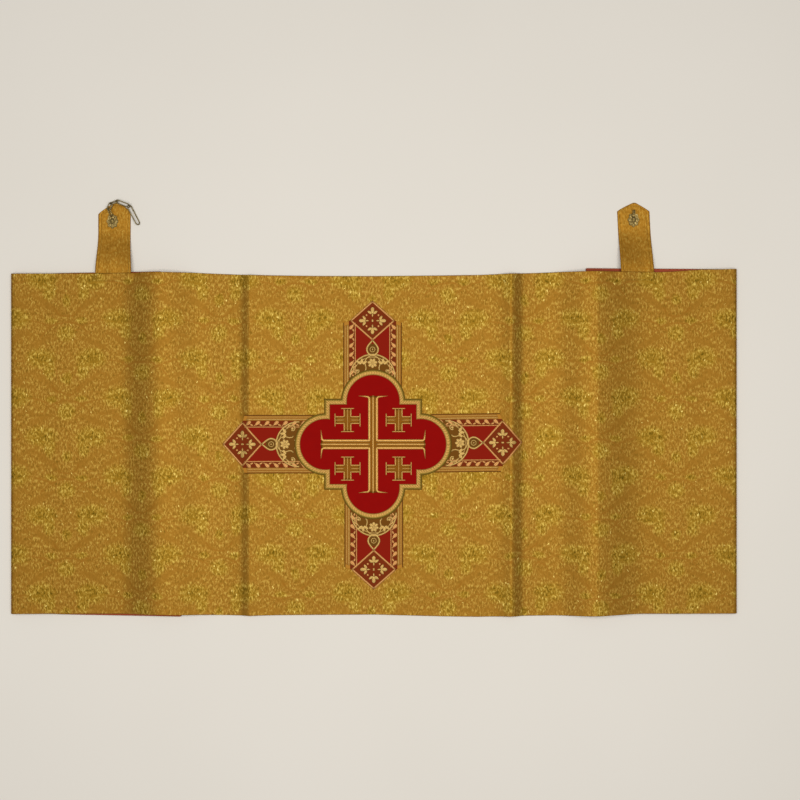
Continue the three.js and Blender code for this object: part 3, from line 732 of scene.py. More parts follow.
def brocade_material(name, settings, ground, figure=True):
    """Gold lurex brocade, woven: a satin-like tan ground with flat metallic strips that glint.

    The strips show as upright dashes, painted yellow where they face the light and olive where they
    dive: a painted highlight and painted shade, through which the figure also shows. A real strip
    is too fine for the render, so each dash stands for a few of them.
    """
    material, tree = new_material(name)
    place = cloth_place(tree)
    lean = node(tree, "ShaderNodeTexNoise", {"Vector": place, "Scale": 0.16, "Detail": 1.0}, out="Color")
    lean = node(tree, "ShaderNodeVectorMath", {0: lean, 1: (6, 4, 0), 2: place}, operation="MULTIPLY_ADD")
    strip = (1 / settings.strip_width * MM, 1 / settings.strip_length * MM, 0)
    stretched = node(tree, "ShaderNodeVectorMath", {0: lean, 1: strip}, operation="MULTIPLY")
    strips = node(tree, "ShaderNodeTexNoise", {
        "Vector": stretched, "Scale": 0.62, "Detail": 1.6, "Roughness": 0.6})
    level = node(tree, "ShaderNodeMath", {0: strips, 1: 0.5}, operation="SUBTRACT")
    cloud = node(tree, "ShaderNodeTexNoise", {"Vector": place, "Scale": 0.03, "Detail": 3.0})
    tone = node(tree, "ShaderNodeMix", {0: cloud, 6: linear(ground[0]), 7: linear(ground[1])}, out=2,
                data_type="RGBA")
    if figure:
        parts = figure_parts(tree, place, settings)
        level = figured_level(tree, level, parts)
        tone = figured_ground(tree, tone, strips, parts)
    else:
        level = node(tree, "ShaderNodeMath", {0: level, 1: PLAIN_DEPTH}, operation="MULTIPLY")
    # Painted highlight and painted shade: a strip above the level takes the lit colour and one below takes
    # the shaded colour, by the same level as the bump.
    for way, colour in ((-1.0, settings.dark_strip), (1.0, settings.bright_strip)):
        share = node(tree, "ShaderNodeMath", {0: level, 1: way}, operation="MULTIPLY", use_clamp=True)
        tone = node(tree, "ShaderNodeMix", {0: share, 6: tone, 7: (*colour, 1.0)}, out=2, data_type="RGBA")
    if figure:
        tone = sparks(tree, tone, stretched, parts)
    finish_material(tree, {
        "Base Color": tone, "Roughness": 0.52, "Metallic": 0.5, "Specular IOR Level": 0.3,
        "Specular Tint": linear("#F0B84A")}, level, (0.35, 0.3))
    return material


def plain_cloth_material(name, colours, pitch, roughness, gloss):
    """Plain woven cloth on Object coordinates: crossed fine ribs and a cloudy tone.

    The real ribs are too fine for the render, so they are drawn at a coarser pitch, and the eye
    gets the dull, slightly uneven sheen that they give.
    """
    material, tree = new_material(name)
    where = node(tree, "ShaderNodeTexCoord", out="Object")
    place = node(tree, "ShaderNodeVectorMath", {0: where, 1: (1000, 1000, 1000)}, operation="MULTIPLY")
    cloud = node(tree, "ShaderNodeTexNoise", {"Vector": place, "Scale": 0.09, "Detail": 5.0})
    tone = node(tree, "ShaderNodeMix", {0: cloud, 6: linear(colours[0]), 7: linear(colours[1])}, out=2,
                data_type="RGBA")
    ribs = {"Vector": place, "Scale": RIB_SCALE / pitch, "Distortion": 0.4}
    warp = node(tree, "ShaderNodeTexWave", ribs, out="Fac", bands_direction="X")
    weft = node(tree, "ShaderNodeTexWave", ribs, out="Fac", bands_direction="Y")
    weave = node(tree, "ShaderNodeMath", {0: warp, 1: weft}, operation="MULTIPLY")
    finish_material(tree, {"Base Color": tone, "Roughness": roughness, "Specular IOR Level": gloss},
                    weave, (0.5, 0.15))
    return material


def thread_material(name, colours, pitch, metallic, roughness, outer=None):
    """Gold thread laid side by side: fine ridges across each stroke, on the stroke's own UV.

    The real thread is finer than the render shows, so its ridges are drawn at a coarser pitch.
    outer gives a second colour and the place across the UV, in millimetres, where it begins.
    """
    material, tree = new_material(name)
    place = cloth_place(tree)
    ridges = node(tree, "ShaderNodeTexWave", {
        "Vector": place, "Scale": RIB_SCALE / pitch, "Distortion": 0.5}, out="Fac", bands_direction="X")
    cloud = node(tree, "ShaderNodeTexNoise", {"Vector": place, "Scale": 0.7, "Detail": 2.0})
    # Painted shade: the colour darkens in the valleys between the ridges, and a cloudy tone varies it at
    # random.
    shade = node(tree, "ShaderNodeMath", {0: ridges, 1: cloud}, operation="MULTIPLY")
    shade = node(tree, "ShaderNodeMapRange", {0: shade, 1: 0.05, 2: 0.5})
    tone = node(tree, "ShaderNodeMix", {0: shade, 6: linear(colours[0]), 7: linear(colours[1])}, out=2,
                data_type="RGBA")
    if outer is not None:
        colour, start = outer
        across = node(tree, "ShaderNodeSeparateXYZ", {0: place}, out="Y")
        share = node(tree, "ShaderNodeMapRange", {0: across, 1: start - 1, 2: start + 1},
                     interpolation_type="SMOOTHSTEP")
        second = node(tree, "ShaderNodeMix", {0: 0.75, 6: tone, 7: linear(colour)}, out=2, data_type="RGBA")
        tone = node(tree, "ShaderNodeMix", {0: share, 6: tone, 7: second}, out=2, data_type="RGBA")
    finish_material(tree, {
        "Base Color": tone, "Roughness": roughness, "Metallic": metallic, "Specular IOR Level": 0.25,
    }, ridges, (0.6, 0.2))
    return material


def galloon_material(name):
    """Woven galloon ground: a clear red field, and browner borders, lunette and diamond.

    The UV runs from the arm's tip inwards and across from its middle, in millimetres.
    """
    material, tree = new_material(name)
    place = cloth_place(tree)
    parts = node(tree, "ShaderNodeSeparateXYZ", {0: place}, out=None)
    across = node(tree, "ShaderNodeMath", {0: parts["Y"]}, operation="ABSOLUTE")
    grain = node(tree, "ShaderNodeTexNoise", {"Vector": place, "Scale": 0.9, "Detail": 3.0})
    tone = node(tree, "ShaderNodeMix", {0: grain, 6: linear("#7E1402"), 7: linear("#8E1904")}, out=2,
                data_type="RGBA")
    layers = []
    # The border, the gold rim beside it and the selvedge, each from a distance across.
    for start, colour in ((GALLOON["field_half"], "#722A08"), (ARM_HALF_WIDTH - RIM_WIDTH, "#B27A2A"),
                          (ARM_HALF_WIDTH - SELVEDGE_WIDTH, "#6A4010")):
        mask = node(tree, "ShaderNodeMath", {0: across, 1: start}, operation="GREATER_THAN")
        layers.append((mask, colour))
    # The inside of the ring and of the lunette.
    for at, radius, colour in (("ring_at", "ring_radius", "#66400E"),
                               ("arc_centre", "arc_radius", "#6E440E")):
        far = node(tree, "ShaderNodeVectorMath", {0: place, 1: (GALLOON[at], 0, 0)}, out="Value",
                   operation="DISTANCE")
        mask = node(tree, "ShaderNodeMath", {0: far, 1: GALLOON[radius]}, operation="LESS_THAN")
        layers.append((mask, colour))
    # The diamond, where the shares of its half sizes add up to less than 1.
    beside = node(tree, "ShaderNodeMath", {0: parts["X"], 1: ARM_TIP_ALONG}, operation="SUBTRACT")
    beside = node(tree, "ShaderNodeMath", {0: beside}, operation="ABSOLUTE")
    beside = node(tree, "ShaderNodeMath", {0: beside, 1: 1 / ARM_TIP_ALONG}, operation="MULTIPLY")
    over = node(tree, "ShaderNodeMath", {0: across, 1: 1 / ARM_TIP_ACROSS, 2: beside},
                operation="MULTIPLY_ADD")
    layers.append((node(tree, "ShaderNodeMath", {0: over, 1: 1.0}, operation="LESS_THAN"), "#762C08"))
    for mask, colour in layers:
        tone = node(tree, "ShaderNodeMix", {0: mask, 6: tone, 7: linear(colour)}, out=2, data_type="RGBA")
    ribs = {"Vector": place, "Scale": RIB_SCALE / GALLOON["rib_pitch"], "Distortion": 0.5}
    ribs = node(tree, "ShaderNodeTexWave", ribs, out="Fac", bands_direction="DIAGONAL")
    finish_material(tree, {"Base Color": tone, "Roughness": 0.85, "Specular IOR Level": 0.12},
                    ribs, (0.6, 0.15))
    return material


def clasp_metal_material(name, colours, roughness):
    """Cast or drawn metal dulled by wear: the tarnish in its hollows is darker and rougher."""
    material, tree = new_material(name)
    where = node(tree, "ShaderNodeTexCoord", out="Object")
    tarnish = node(tree, "ShaderNodeTexNoise", {"Vector": where, "Scale": 420.0, "Detail": 4.0})
    spread = node(tree, "ShaderNodeMapRange", {0: tarnish, 1: 0.35, 2: 0.7},
                  interpolation_type="SMOOTHSTEP")
    tone = node(tree, "ShaderNodeMix", {0: spread, 6: linear(colours[0]), 7: linear(colours[1])}, out=2,
                data_type="RGBA")
    rough = node(tree, "ShaderNodeMapRange", {0: spread, 3: roughness[0], 4: roughness[1]})
    finish_material(tree, {"Base Color": tone, "Roughness": rough, "Metallic": 1.0}, tarnish, (0.2, 0.1))
    return material


def table_material(name):
    """Matt white painted board: almost even, with a faint warm cloudiness."""
    material, tree = new_material(name)
    where = node(tree, "ShaderNodeTexCoord", out="Object")
    cloud = node(tree, "ShaderNodeTexNoise", {"Vector": where, "Scale": 2.0, "Detail": 2.0})
    tone = node(tree, "ShaderNodeMix", {0: cloud, 6: linear("#E3DED5"), 7: linear("#DDD8CE")}, out=2,
                data_type="RGBA")
    finish_material(tree, {"Base Color": tone, "Roughness": 0.8})
    return material


def shared(name, make, *values, **settings):
    """The material of this name, made on first use."""
    return bpy.data.materials.get(name) or make(name, *values, **settings)


# The galloon's figures, in millimetres from the arm's tip inwards.
GALLOON = dict(
    rib_pitch=0.9,
    field_half=27.7,
    arc_centre=75.9 * PIXEL,
    arc_radius=22.8 * PIXEL,
    ring_at=48.6 * PIXEL,
    ring_radius=5.6 * PIXEL,
    rosette_at=62.2 * PIXEL,
    leaf_pitch=9.1 * PIXEL,
)


def arm_place(arm):
    """From an arm's own plan, tip inwards and across, to the veil's plan."""
    turn = math.radians(arm["turn"])

    def place(inward, across):
        along = arm["apex"] - inward
        return (arm["shift"][0] + along * math.cos(turn) - across * math.sin(turn),
                arm["shift"][1] + along * math.sin(turn) + across * math.cos(turn))

    return place


def make_arm(name, arm):
    """An arm's ground: a strip whose half width falls from its side to 0 at the point."""
    length = arm["apex"] - arm["start"]
    along = np.concatenate([np.linspace(0, ARM_TIP_ALONG, 22), [ARM_TIP_ALONG + 3.5],
                            np.linspace(ARM_TIP_ALONG + 6, length, 50)])
    half = np.interp(along, [0, ARM_TIP_ALONG, ARM_TIP_ALONG + 3.5], [0.3, ARM_TIP_ACROSS, ARM_HALF_WIDTH])
    across = np.concatenate([[-1, -0.985, -0.96], np.linspace(-0.92, 0.92, 25), [0.96, 0.985, 1]])
    inward, side = along[:, None] + 0 * across, half[:, None] * across
    x, y = arm_place(arm)(inward, side)
    base = veil_z(x, y)
    to_edge = np.minimum(half[:, None] - np.abs(side), inward + 0.05)
    top = base + ARM_LOW + ARM_THICK * (0.35 + 0.65 * rounding(to_edge, 0.9))
    upper = np.stack([x, y, top], axis=-1)
    lower = np.stack([x, y, base + ARM_LOW], axis=-1)
    return make_cloth(name, upper, lower, inward, side)


def fleur(pile, centre, turn, scale):
    """A bud of three petals on a short stem, pointing outwards from a centre."""
    out = np.array([math.cos(turn), math.sin(turn)])
    left = np.array([-out[1], out[0]])
    place = lambda a, b: np.asarray(centre) + scale * (a * out + b * left)
    pile.petal(place(10.0, 0), (scale * 3.9, scale * 1.9), turn, waist=-0.35)
    for way in (-1, 1):
        pile.petal(place(8.4, way * 2.9), (scale * 2.6, scale * 1.5), turn + way * 1.0, waist=0.25)
    pile.petal(place(5.8, 0), (scale * 2.2, scale * 0.8), turn, waist=0.2)


def side_figures(pile, inner):
    """The lines along an arm's two sides, and the leaves between them."""
    side = ARM_HALF_WIDTH
    body = ARM_TIP_ALONG + 3
    for way in (-1, 1):
        for distance, width, tone in SIDE_LINES:
            pile.tone = tone
            start = body + (SIDE_LINES[-1][0] - distance) * 0.3
            across = way * (side - distance)
            pile.stroke(line((start, across), (inner, across)), width, LOW_FIGURE)
        for at in np.arange(body + 7, inner - 4, GALLOON["leaf_pitch"]):
            pile.petal((at, way * (side - 13.2)), (5.5, 3.0), way * 0.75, LOW_FIGURE, waist=-0.35)
            pile.petal((at + 5.4, way * (side - 16.2)), (3.2, 1.5), way * -0.45, LOW_FIGURE, waist=0.2)
            pile.petal((at - 4.2, way * (side - 16.6)), (1.5, 1.1), way * 0.4, LOW_FIGURE)


def diamond_figures(pile):
    """The diamond's outline, four fleurs, four dots and a middle."""
    a, b = ARM_TIP_ALONG, ARM_TIP_ACROSS
    share = 0.955
    corners = [(a - a * share, 0), (a, b * share), (a + a * share, 0), (a, -b * share), (a - a * share, 0)]
    pile.tone = 1
    for first, second in zip(corners, corners[1:]):
        pile.stroke(line(first, second), 3.1, HIGH_FIGURE)
    pile.tone = 0
    for quarter in range(4):
        fleur(pile, (a, 0), quarter * math.pi / 2, 1.6)
    pile.petal((a, 0), (2.6, 1.6), height=LOW_FIGURE)
    pile.tone = 1
    for sx, sy in QUARTERS:
        pile.petal((a + sx * 8.8, sy * 9.6), (1.7, 1.7), height=LOW_FIGURE)
    pile.tone = 0


def ring_figures(pile):
    """The teardrop ring that joins the diamond to the lunette."""
    ring_at, r = GALLOON["ring_at"], GALLOON["ring_radius"]
    neck = (2 * ARM_TIP_ALONG - 0.5, 0)
    loop = np.concatenate([
        line(neck, (ring_at - r * 0.66, r * 0.80), step=3),
        arc((ring_at, 0), r, 125, -125, 34),
        line((ring_at - r * 0.66, -r * 0.80), neck, step=3)[1:],
    ])
    pile.stroke(loop, 3.0, HIGH_FIGURE)
    pile.stroke(arc((ring_at, 0), 4.0, 0, 340, 18), 1.5, LOW_FIGURE, closed=True)
    pile.petal((ring_at, 0), (1.6, 1.2), height=LOW_FIGURE)


def lunette_figures(pile):
    """The lunette: two arcs, and on its dark ground a rosette between leaves and curls."""
    centre, radius = GALLOON["arc_centre"], GALLOON["arc_radius"]
    pile.stroke(arc((centre, 0), radius - 0.8, 88, 272, 60), 2.8, HIGH_FIGURE)
    pile.stroke(arc((centre, 0), radius - 5.2, 100, 260, 48), 1.5, LOW_FIGURE)
    rosette = GALLOON["rosette_at"]
    for k in range(7):
        turn = k * math.tau / 7
        middle = (rosette + 4.6 * math.cos(turn), 4.6 * math.sin(turn))
        pile.petal(middle, (3.7, 2.5), turn, LOW_FIGURE, waist=-0.3)
    pile.petal((rosette, 0), (1.6, 1.6), height=LOW_FIGURE + 0.15)
    leg = np.array([(rosette + 14.0, 13.6), (rosette + 11.0, 10.8), (rosette + 7.0, 10.4)])
    hoop = [leg, arc((rosette, 0), 12.0, 76, 284, 34), leg[::-1] * [1, -1]]
    pile.stroke(np.concatenate(hoop), 2.2, LOW_FIGURE)
    for way in (-1, 1):
        base = np.array([rosette + 2.0, way * 17.0])
        for turn in (-1.0, 0.0, 1.0):
            out = np.array([-math.cos(turn) * 5.4, math.sin(turn) * 5.4])
            pile.petal(base + out, (5.0, 2.6), math.atan2(out[1], out[0]), LOW_FIGURE, waist=0.2)
        sweep = np.linspace(0, 1.7 * np.pi, 30)
        grow = 7.8 - 1.1 * sweep
        curl = np.stack([rosette + 11.5 - grow * np.cos(sweep), way * (24.5 + grow * np.sin(sweep))], -1)
        pile.stroke(curl, 2.1, LOW_FIGURE)
        pile.petal((rosette + 12.0, way * 25.0), (2.4, 2.0), way * 0.5, LOW_FIGURE)
        pile.petal((rosette + 18.0, way * 8.0), (4.2, 1.9), way * 0.9, LOW_FIGURE, waist=0.2)


def make_arm_figures(name, arm):
    """The woven gold figures of one arm: borders, diamond, ring, lunette and their leaves."""
    pile = Pile(lambda x, y: veil_z(x, y) + ARM_TOP, arm_place(arm))
    side_figures(pile, arm["apex"] - arm["start"] - 2)
    diamond_figures(pile)
    ring_figures(pile)
    lunette_figures(pile)
    return pile.object(name)


# The medallion's outline.


def medallion_outline(margin, detail=1.0):
    """The closed outline, grown by a margin: lobe, side, corner and top of each quarter in turn."""
    bx, by = BOX[0] + margin, BOX[1] + margin
    side_r, end_r = SIDE_LOBE["radius"] + margin, END_LOBE["radius"] + margin
    y_at = math.sqrt(side_r**2 - (bx - SIDE_LOBE["offset"]) ** 2)
    x_at = math.sqrt(end_r**2 - (by - END_LOBE["offset"]) ** 2)
    open_side = math.degrees(math.atan2(y_at, bx - SIDE_LOBE["offset"]))
    open_end = math.degrees(math.atan2(by - END_LOBE["offset"], x_at))
    n = lambda count: max(3, int(count * detail))
    quarter = [
        arc((SIDE_LOBE["offset"], 0), side_r, 0, open_side, n(40))[:-1],
        line_count((bx, y_at), (bx, by), n(12)),
        line_count((bx, by), (x_at, by), n(12)),
        arc((0, END_LOBE["offset"]), end_r, open_end, 90, n(40))[:-1],
    ]
    first = np.concatenate(quarter)
    top = np.array([[0, END_LOBE["offset"] + end_r]])
    second = np.concatenate([top, first[:0:-1]]) * [-1, 1]
    half = np.concatenate([first, second])
    return np.concatenate([half, -half])


def line_count(a, b, count):
    """Points from a towards b, the last one left out."""
    a, b = np.asarray(a, float), np.asarray(b, float)
    return a + (b - a) * np.linspace(0, 1, count, endpoint=False)[:, None]


def make_medallion(name):
    """The padded ground: the outline drawn in towards its centre, ring by ring."""
    outline = medallion_outline(7.0)
    shares = np.concatenate([[1.0, 0.9975, 0.993, 0.985], np.linspace(0.96, 0.02, 40)])
    x = EMBLEM[0] + shares[:, None] * outline[:, 0]
    y = EMBLEM[1] + shares[:, None] * outline[:, 1]
    base = veil_z(x, y)
    inward = (1 - shares[:, None]) * np.hypot(outline[:, 0], outline[:, 1])
    over_arm = (np.abs(x) < ARM_HALF_WIDTH + 4) | (np.abs(y) < ARM_HALF_WIDTH + 4)
    low = base + MEDALLION_LOW + np.where(over_arm, ARM_THICK + GAP, 0.0)
    puff = 0.25 * smooth(inward / 30) + 0.05 * np.sin(x / 17 + 1) * np.sin(y / 13)
    high = base + MEDALLION_LOW + MEDALLION_THICK * (0.55 + 0.45 * rounding(inward, 1.6)) + puff
    upper = np.stack([x, y, high], axis=-1)
    lower = np.stack([x, y, np.minimum(low, high - 0.3)], axis=-1)
    n, m = upper.shape[:2]
    vertices = np.concatenate([upper.reshape(-1, 3), lower.reshape(-1, 3)])
    index, top = ring_faces(n, m)
    following = np.roll(index[0], -1)
    bottom = top[:, ::-1] + n * m
    wall = np.stack([index[0], following, following + n * m, index[0] + n * m], -1)
    faces = np.concatenate([top, bottom, wall]).tolist()
    faces += [index[-1].tolist(), (index[-1] + n * m)[::-1].tolist()]
    uv = np.stack([x, y], axis=-1).reshape(-1, 2)
    return make_object(name, vertices, faces, np.concatenate([uv, uv]))


def make_braid(name):
    """A flat braid round the medallion: a rounded section with slanted ribs carried along it.

    Its outer margin is whipped down over the medallion's edge to the brocade.
    """
    across = np.linspace(0, 1, 13)
    loops = [medallion_outline(mix(*BRAID_MARGINS, share), 4.0) for share in across]
    x = EMBLEM[0] + np.stack([loop[:, 0] for loop in loops])
    y = EMBLEM[1] + np.stack([loop[:, 1] for loop in loops])
    middle = loops[6]
    steps = np.linalg.norm(np.roll(middle, -1, axis=0) - middle, axis=-1)
    run = np.concatenate([[0], np.cumsum(steps)[:-1]])
    ribs = round(steps.sum() / 2.6)
    phase = run * ribs / steps.sum()
    slant = np.abs(across - 0.4)[:, None] * 1.3
    rib = np.abs(np.sin(np.pi * (phase + slant)))
    section = rounding(np.minimum(across, 1 - across), 0.32)[:, None]
    margin = mix(*BRAID_MARGINS, across)[:, None]
    base = veil_z(x, y) + mix(WORK_LOW, ARM_TOP + GAP, smooth((margin - 6.6) / 1.2))
    high = base + BRAID_THICK * section * (0.72 + 0.28 * rib) + 0.12
    rings = [np.stack([x[k], y[k], high[k]], -1) for k in range(len(across))]
    rings += [np.stack([x[k], y[k], base[k]], -1) for k in range(len(across) - 1, -1, -1)]
    vertices, faces = ring_slab(np.stack(rings))
    uv_rows = [np.stack([run, np.full_like(run, width)], -1) for width in margin[:, 0]]
    return make_object(name, vertices, faces, np.concatenate(uv_rows + uv_rows[::-1]))


def make_cross(name, at, reach, rail, serif, widths, flared):
    """A gold thread cross of three lines to a bar, worked over a dark ground.

    at is its centre, reach its half sizes, rail the outer line's distance from the middle. A
    flared cross bends its outer lines out into tapered serifs. The others end in straight bars.
    """
    gold = Pile(lambda x, y: veil_z(x, y) + WORK_LOW, lambda x, y: (x + at[0], y + at[1]))
    outer, middle, bar = widths
    bend = np.radians(np.linspace(0, 78, 9))[:, None]
    aside = rail + BEND_RADIUS * (1 - np.cos(bend))
    along = BEND_RADIUS * (np.sin(bend) - 1) - BEND_SHORT
    for quarter in QUARTERS:
        path = line((rail, reach[1]), (rail, rail), (reach[0], rail), step=3)
        width = outer
        if flared:
            up = np.concatenate([aside, reach[1] + along], 1)[::-1]
            out = np.concatenate([reach[0] + along, aside], 1)
            path = np.concatenate([
                [[rail + serif, reach[1] - 0.3]], up,
                line(up[-1], (rail, rail), out[0], step=3)[1:-1],
                out, [[reach[0] - 0.3, rail + serif]],
            ])
            run = np.concatenate([[0], np.cumsum(np.linalg.norm(np.diff(path, axis=0), axis=-1))])
            to_end = np.minimum(run, run[-1] - run)
            taper = serif * np.array([0, 0.4, 0.8, 1.25])
            width = np.interp(to_end, taper, [0.4, 1.5, 3.3, outer])
        gold.stroke(path * quarter, width, 0.6)
    gold.stroke(line((0, -reach[1]), (0, reach[1])), middle, 0.62)
    for way in (-1, 1):
        gold.stroke(line((way * (rail - outer * 0.2), 0), (way * reach[0], 0)), middle, 0.56)
    if not flared:
        for way in (-1, 1):
            gold.stroke(line((-serif, way * reach[1]), (serif, way * reach[1]), step=2), bar, 0.6)
            gold.stroke(line((way * reach[0], -serif), (way * reach[0], serif), step=2), bar, 0.6)
    return gold.object(name)


def make_cross_ground(name, at, reach, rail):
    """The dark thread laid between a cross's gold lines: one low flat strip along each bar."""
    ground = Pile(lambda x, y: veil_z(x, y) + WORK_LOW - 0.05, lambda x, y: (x + at[0], y + at[1]))
    ground.stroke(line((0, -reach[1] + 0.5), (0, reach[1] - 0.5)), 2 * rail, 0.22)
    ground.stroke(line((-reach[0] + 0.5, 0), (reach[0] - 0.5, 0)), 2 * rail, 0.2)
    return ground.object(name)


def make_tab(name, tab):
    """A doubled strip: foot under the brocade, drooping to the table, with a pointed end.

    Across, the half width runs evenly from foot to shoulder and then falls to the point.
    """
    half_foot = tab["foot"] / 2
    t = np.concatenate([[-1, -0.985, -0.96, -0.93], np.linspace(-0.9, 0.9, 59), [0.93, 0.96, 0.985, 1]])
    edge = front_edges(tab["x"] + t * half_foot)[1] + 0.1
    shoulder = tab["tip_y"] - mix(*tab["drop"], (t + 1) / 2)
    low = np.concatenate([np.linspace(-TAB_FOOT, -0.6, 6), [-0.2, 0.1]])[:, None]
    up = np.concatenate([[0.015], np.linspace(0.03, 1, 60)])[:, None]
    tip = np.linspace(0, 1, 18)[1:, None]
    yy = np.concatenate([edge + low, mix(edge, shoulder, up), mix(shoulder, tab["tip_y"], tip)])
    share = np.clip((yy - edge) / (tab["tip_y"] - edge), 0, 1)
    point = np.concatenate([0 * low, 0 * up, tip]) ** 1.2
    half = mix(mix(half_foot, TAB_WIDTH / 2, smooth(share * 2)), TAB_TIP_WIDTH / 2, point)
    x = mix(mix(tab["x"], tab["shoulder_x"], share), tab["tip_x"], point) + half * t
    foot_z = veil_z(tab["x"] + t * half_foot, edge) + 0 * x
    droop = smooth((yy - edge - TAB_DROOP[0]) / (TAB_DROOP[1] - TAB_DROOP[0]))
    base = mix(foot_z, TABLE_Z, droop) + LINING[0]
    under = smooth((yy - edge + 0.2) / 0.25)
    to_edge = np.minimum(half * (1 - np.abs(t)), tab["tip_y"] - yy + 0.2)
    stitch = np.exp(-(((to_edge - 4.6) / 0.8) ** 2)) * (yy > edge + 4)
    soft = 0.10 * np.sin(yy / 9 + x / 21) + 0.06 * np.sin(yy / 3.1 + 2 * np.sin(x / 7))
    full = TAB_THICK * (0.35 + 0.65 * rounding(to_edge, 2.6)) - 0.35 * stitch + soft * rounding(to_edge, 8)
    full = full + 0.3 * (1 - smooth((yy - edge) / 5))
    thick = mix(LINING[1] - LINING[0] - 0.25, full, under)
    upper = np.stack([x, yy, base + thick], axis=-1)
    lower = np.stack([x, yy, base + 0.02], axis=-1)
    return make_cloth(name, upper, lower, x, yy)


def make_rosette(at):
    """A cast plate: a scalloped oval whose petals swell between its rim bead and its boss."""
    steps = ROSETTE["petals"] * 14
    angle = np.linspace(0, 2 * np.pi, steps, endpoint=False)
    wave = np.cos(ROSETTE["petals"] * angle)
    r = 1 - ROSETTE["scallop"] * (1 - wave) * 0.5
    size = np.array([1.0, 1.0, 0.96, 0.9, 0.82, 0.74, 0.66, 0.58, 0.5, 0.42, 0.36, 0.3, 0.22, 0.12])
    rise = np.array([0, 0.7, 0.95, 0.8, 0.62, 0.75, 0.9, 0.92, 0.8, 0.6, 1.0, 1.5, 1.9, 2.1])
    petal = np.array([0, 0, 0, 0.1, 0.3, 0.5, 0.6, 0.6, 0.5, 0.25, 0, 0, 0, 0])
    scale = size[:, None] * mix(1.0, r, np.clip((size[:, None] - 0.3) * 2, 0, 1))
    x = at[0] + ROSETTE["half_x"] * scale * np.sin(angle)
    y = at[1] + ROSETTE["half_y"] * scale * np.cos(angle)
    z = TAB_THICK + GAP + ROSETTE["thick"] * rise[:, None] + petal[:, None] * (wave - 1) * 0.42
    index, faces = ring_faces(len(size), steps)
    faces = faces.tolist() + [index[-1].tolist(), index[0][::-1].tolist()]
    return np.stack([x, y, z], -1).reshape(-1, 3), faces


def link_line(start, finish, roll, half):
    """The middle line of a wire loop: two straight sides and two half circles in a turned plane."""
    start, finish = np.asarray(start, float), np.asarray(finish, float)
    along = (finish - start) / np.linalg.norm(finish - start)
    level = np.array([-along[1], along[0], 0]) / math.hypot(along[0], along[1])
    turn = math.radians(roll)
    across = level * math.cos(turn) + np.cross(along, level) * math.sin(turn)
    reach = WIRE / 2 + LINK_PLAY / 2
    a, b = start + along * (half - reach), finish + along * (reach - half)
    angle = np.linspace(-np.pi / 2, np.pi / 2, 20)[:, None]
    near = b + along * half * np.cos(angle) + across * half * np.sin(angle)
    far = a - along * half * np.cos(angle) - across * half * np.sin(angle)
    return np.concatenate([near, far]), np.cross(along, across)


def loop_tube(path, normal, radius, sides=14):
    """A round section carried round a closed flat path."""
    tangent = np.roll(path, -1, axis=0) - np.roll(path, 1, axis=0)
    tangent /= np.linalg.norm(tangent, axis=-1, keepdims=True)
    side = np.cross(tangent, normal)
    angle = np.linspace(0, 2 * np.pi, sides, endpoint=False)
    section = np.cos(angle)[:, None] * side[:, None] + np.sin(angle)[:, None] * normal
    return ring_slab(path[:, None] + radius * section)


def open_tube(path, radius, sides=12):
    """A round section carried along an open path, with its ends closed."""
    tangent = np.gradient(path, axis=0)
    tangent /= np.linalg.norm(tangent, axis=-1, keepdims=True)
    side = np.cross(tangent, [1.0, 0.0, 0.02])
    side /= np.linalg.norm(side, axis=-1, keepdims=True)
    up = np.cross(side, tangent)
    angle = np.linspace(0, 2 * np.pi, sides, endpoint=False)
    section = np.cos(angle)[:, None] * side[:, None] + np.sin(angle)[:, None] * up[:, None]
    index, faces = ring_faces(len(path), sides)
    faces = faces.tolist() + [index[0][::-1].tolist(), index[-1].tolist()]
    return (path[:, None] + radius * section).reshape(-1, 3), faces


def joined(*shapes):
    """Vertices and faces of several shapes as one."""
    vertices, faces, count = [], [], 0
    for points, sides in shapes:
        vertices.append(points)
        sides = sides.tolist() if isinstance(sides, np.ndarray) else sides
        faces += [[index + count for index in side] for side in sides]
        count += len(points)
    return np.concatenate(vertices), faces


HOOK_SIDE = [(0, 0), (5, 0.2), (10, 0.3), (11.5, 1.7), (10, 3.4), (5.5, 3.7)]
HOOK_BILL = (3.5, 3.9)
HOOK_HALF = 1.25
HOOK_WIRE = 1.4


def hook_path(at):
    """The hook's doubled wire: up one side, round the bill and back, through a smoothed curve."""
    foot = TAB_THICK + GAP + ROSETTE["thick"] - 0.3
    place = lambda x, row: (at[0] + x, at[1] + 4 + row[0], foot + row[1])
    points = [place(-HOOK_HALF, row) for row in HOOK_SIDE]
    points.append(place(0, HOOK_BILL))
    points += [place(HOOK_HALF, row) for row in reversed(HOOK_SIDE)]
    points = np.asarray(points, float)
    knots = np.arange(len(points))
    fine = np.linspace(0, len(points) - 1, 90)
    path = np.stack([np.interp(fine, knots, points[:, k]) for k in range(3)], -1)
    kernel = np.ones(7) / 7
    padded = np.concatenate([np.repeat(path[:1], 3, 0), path, np.repeat(path[-1:], 3, 0)])
    return np.stack([np.convolve(padded[:, k], kernel, mode="valid") for k in range(3)], -1)


# Settings, operators and panel.


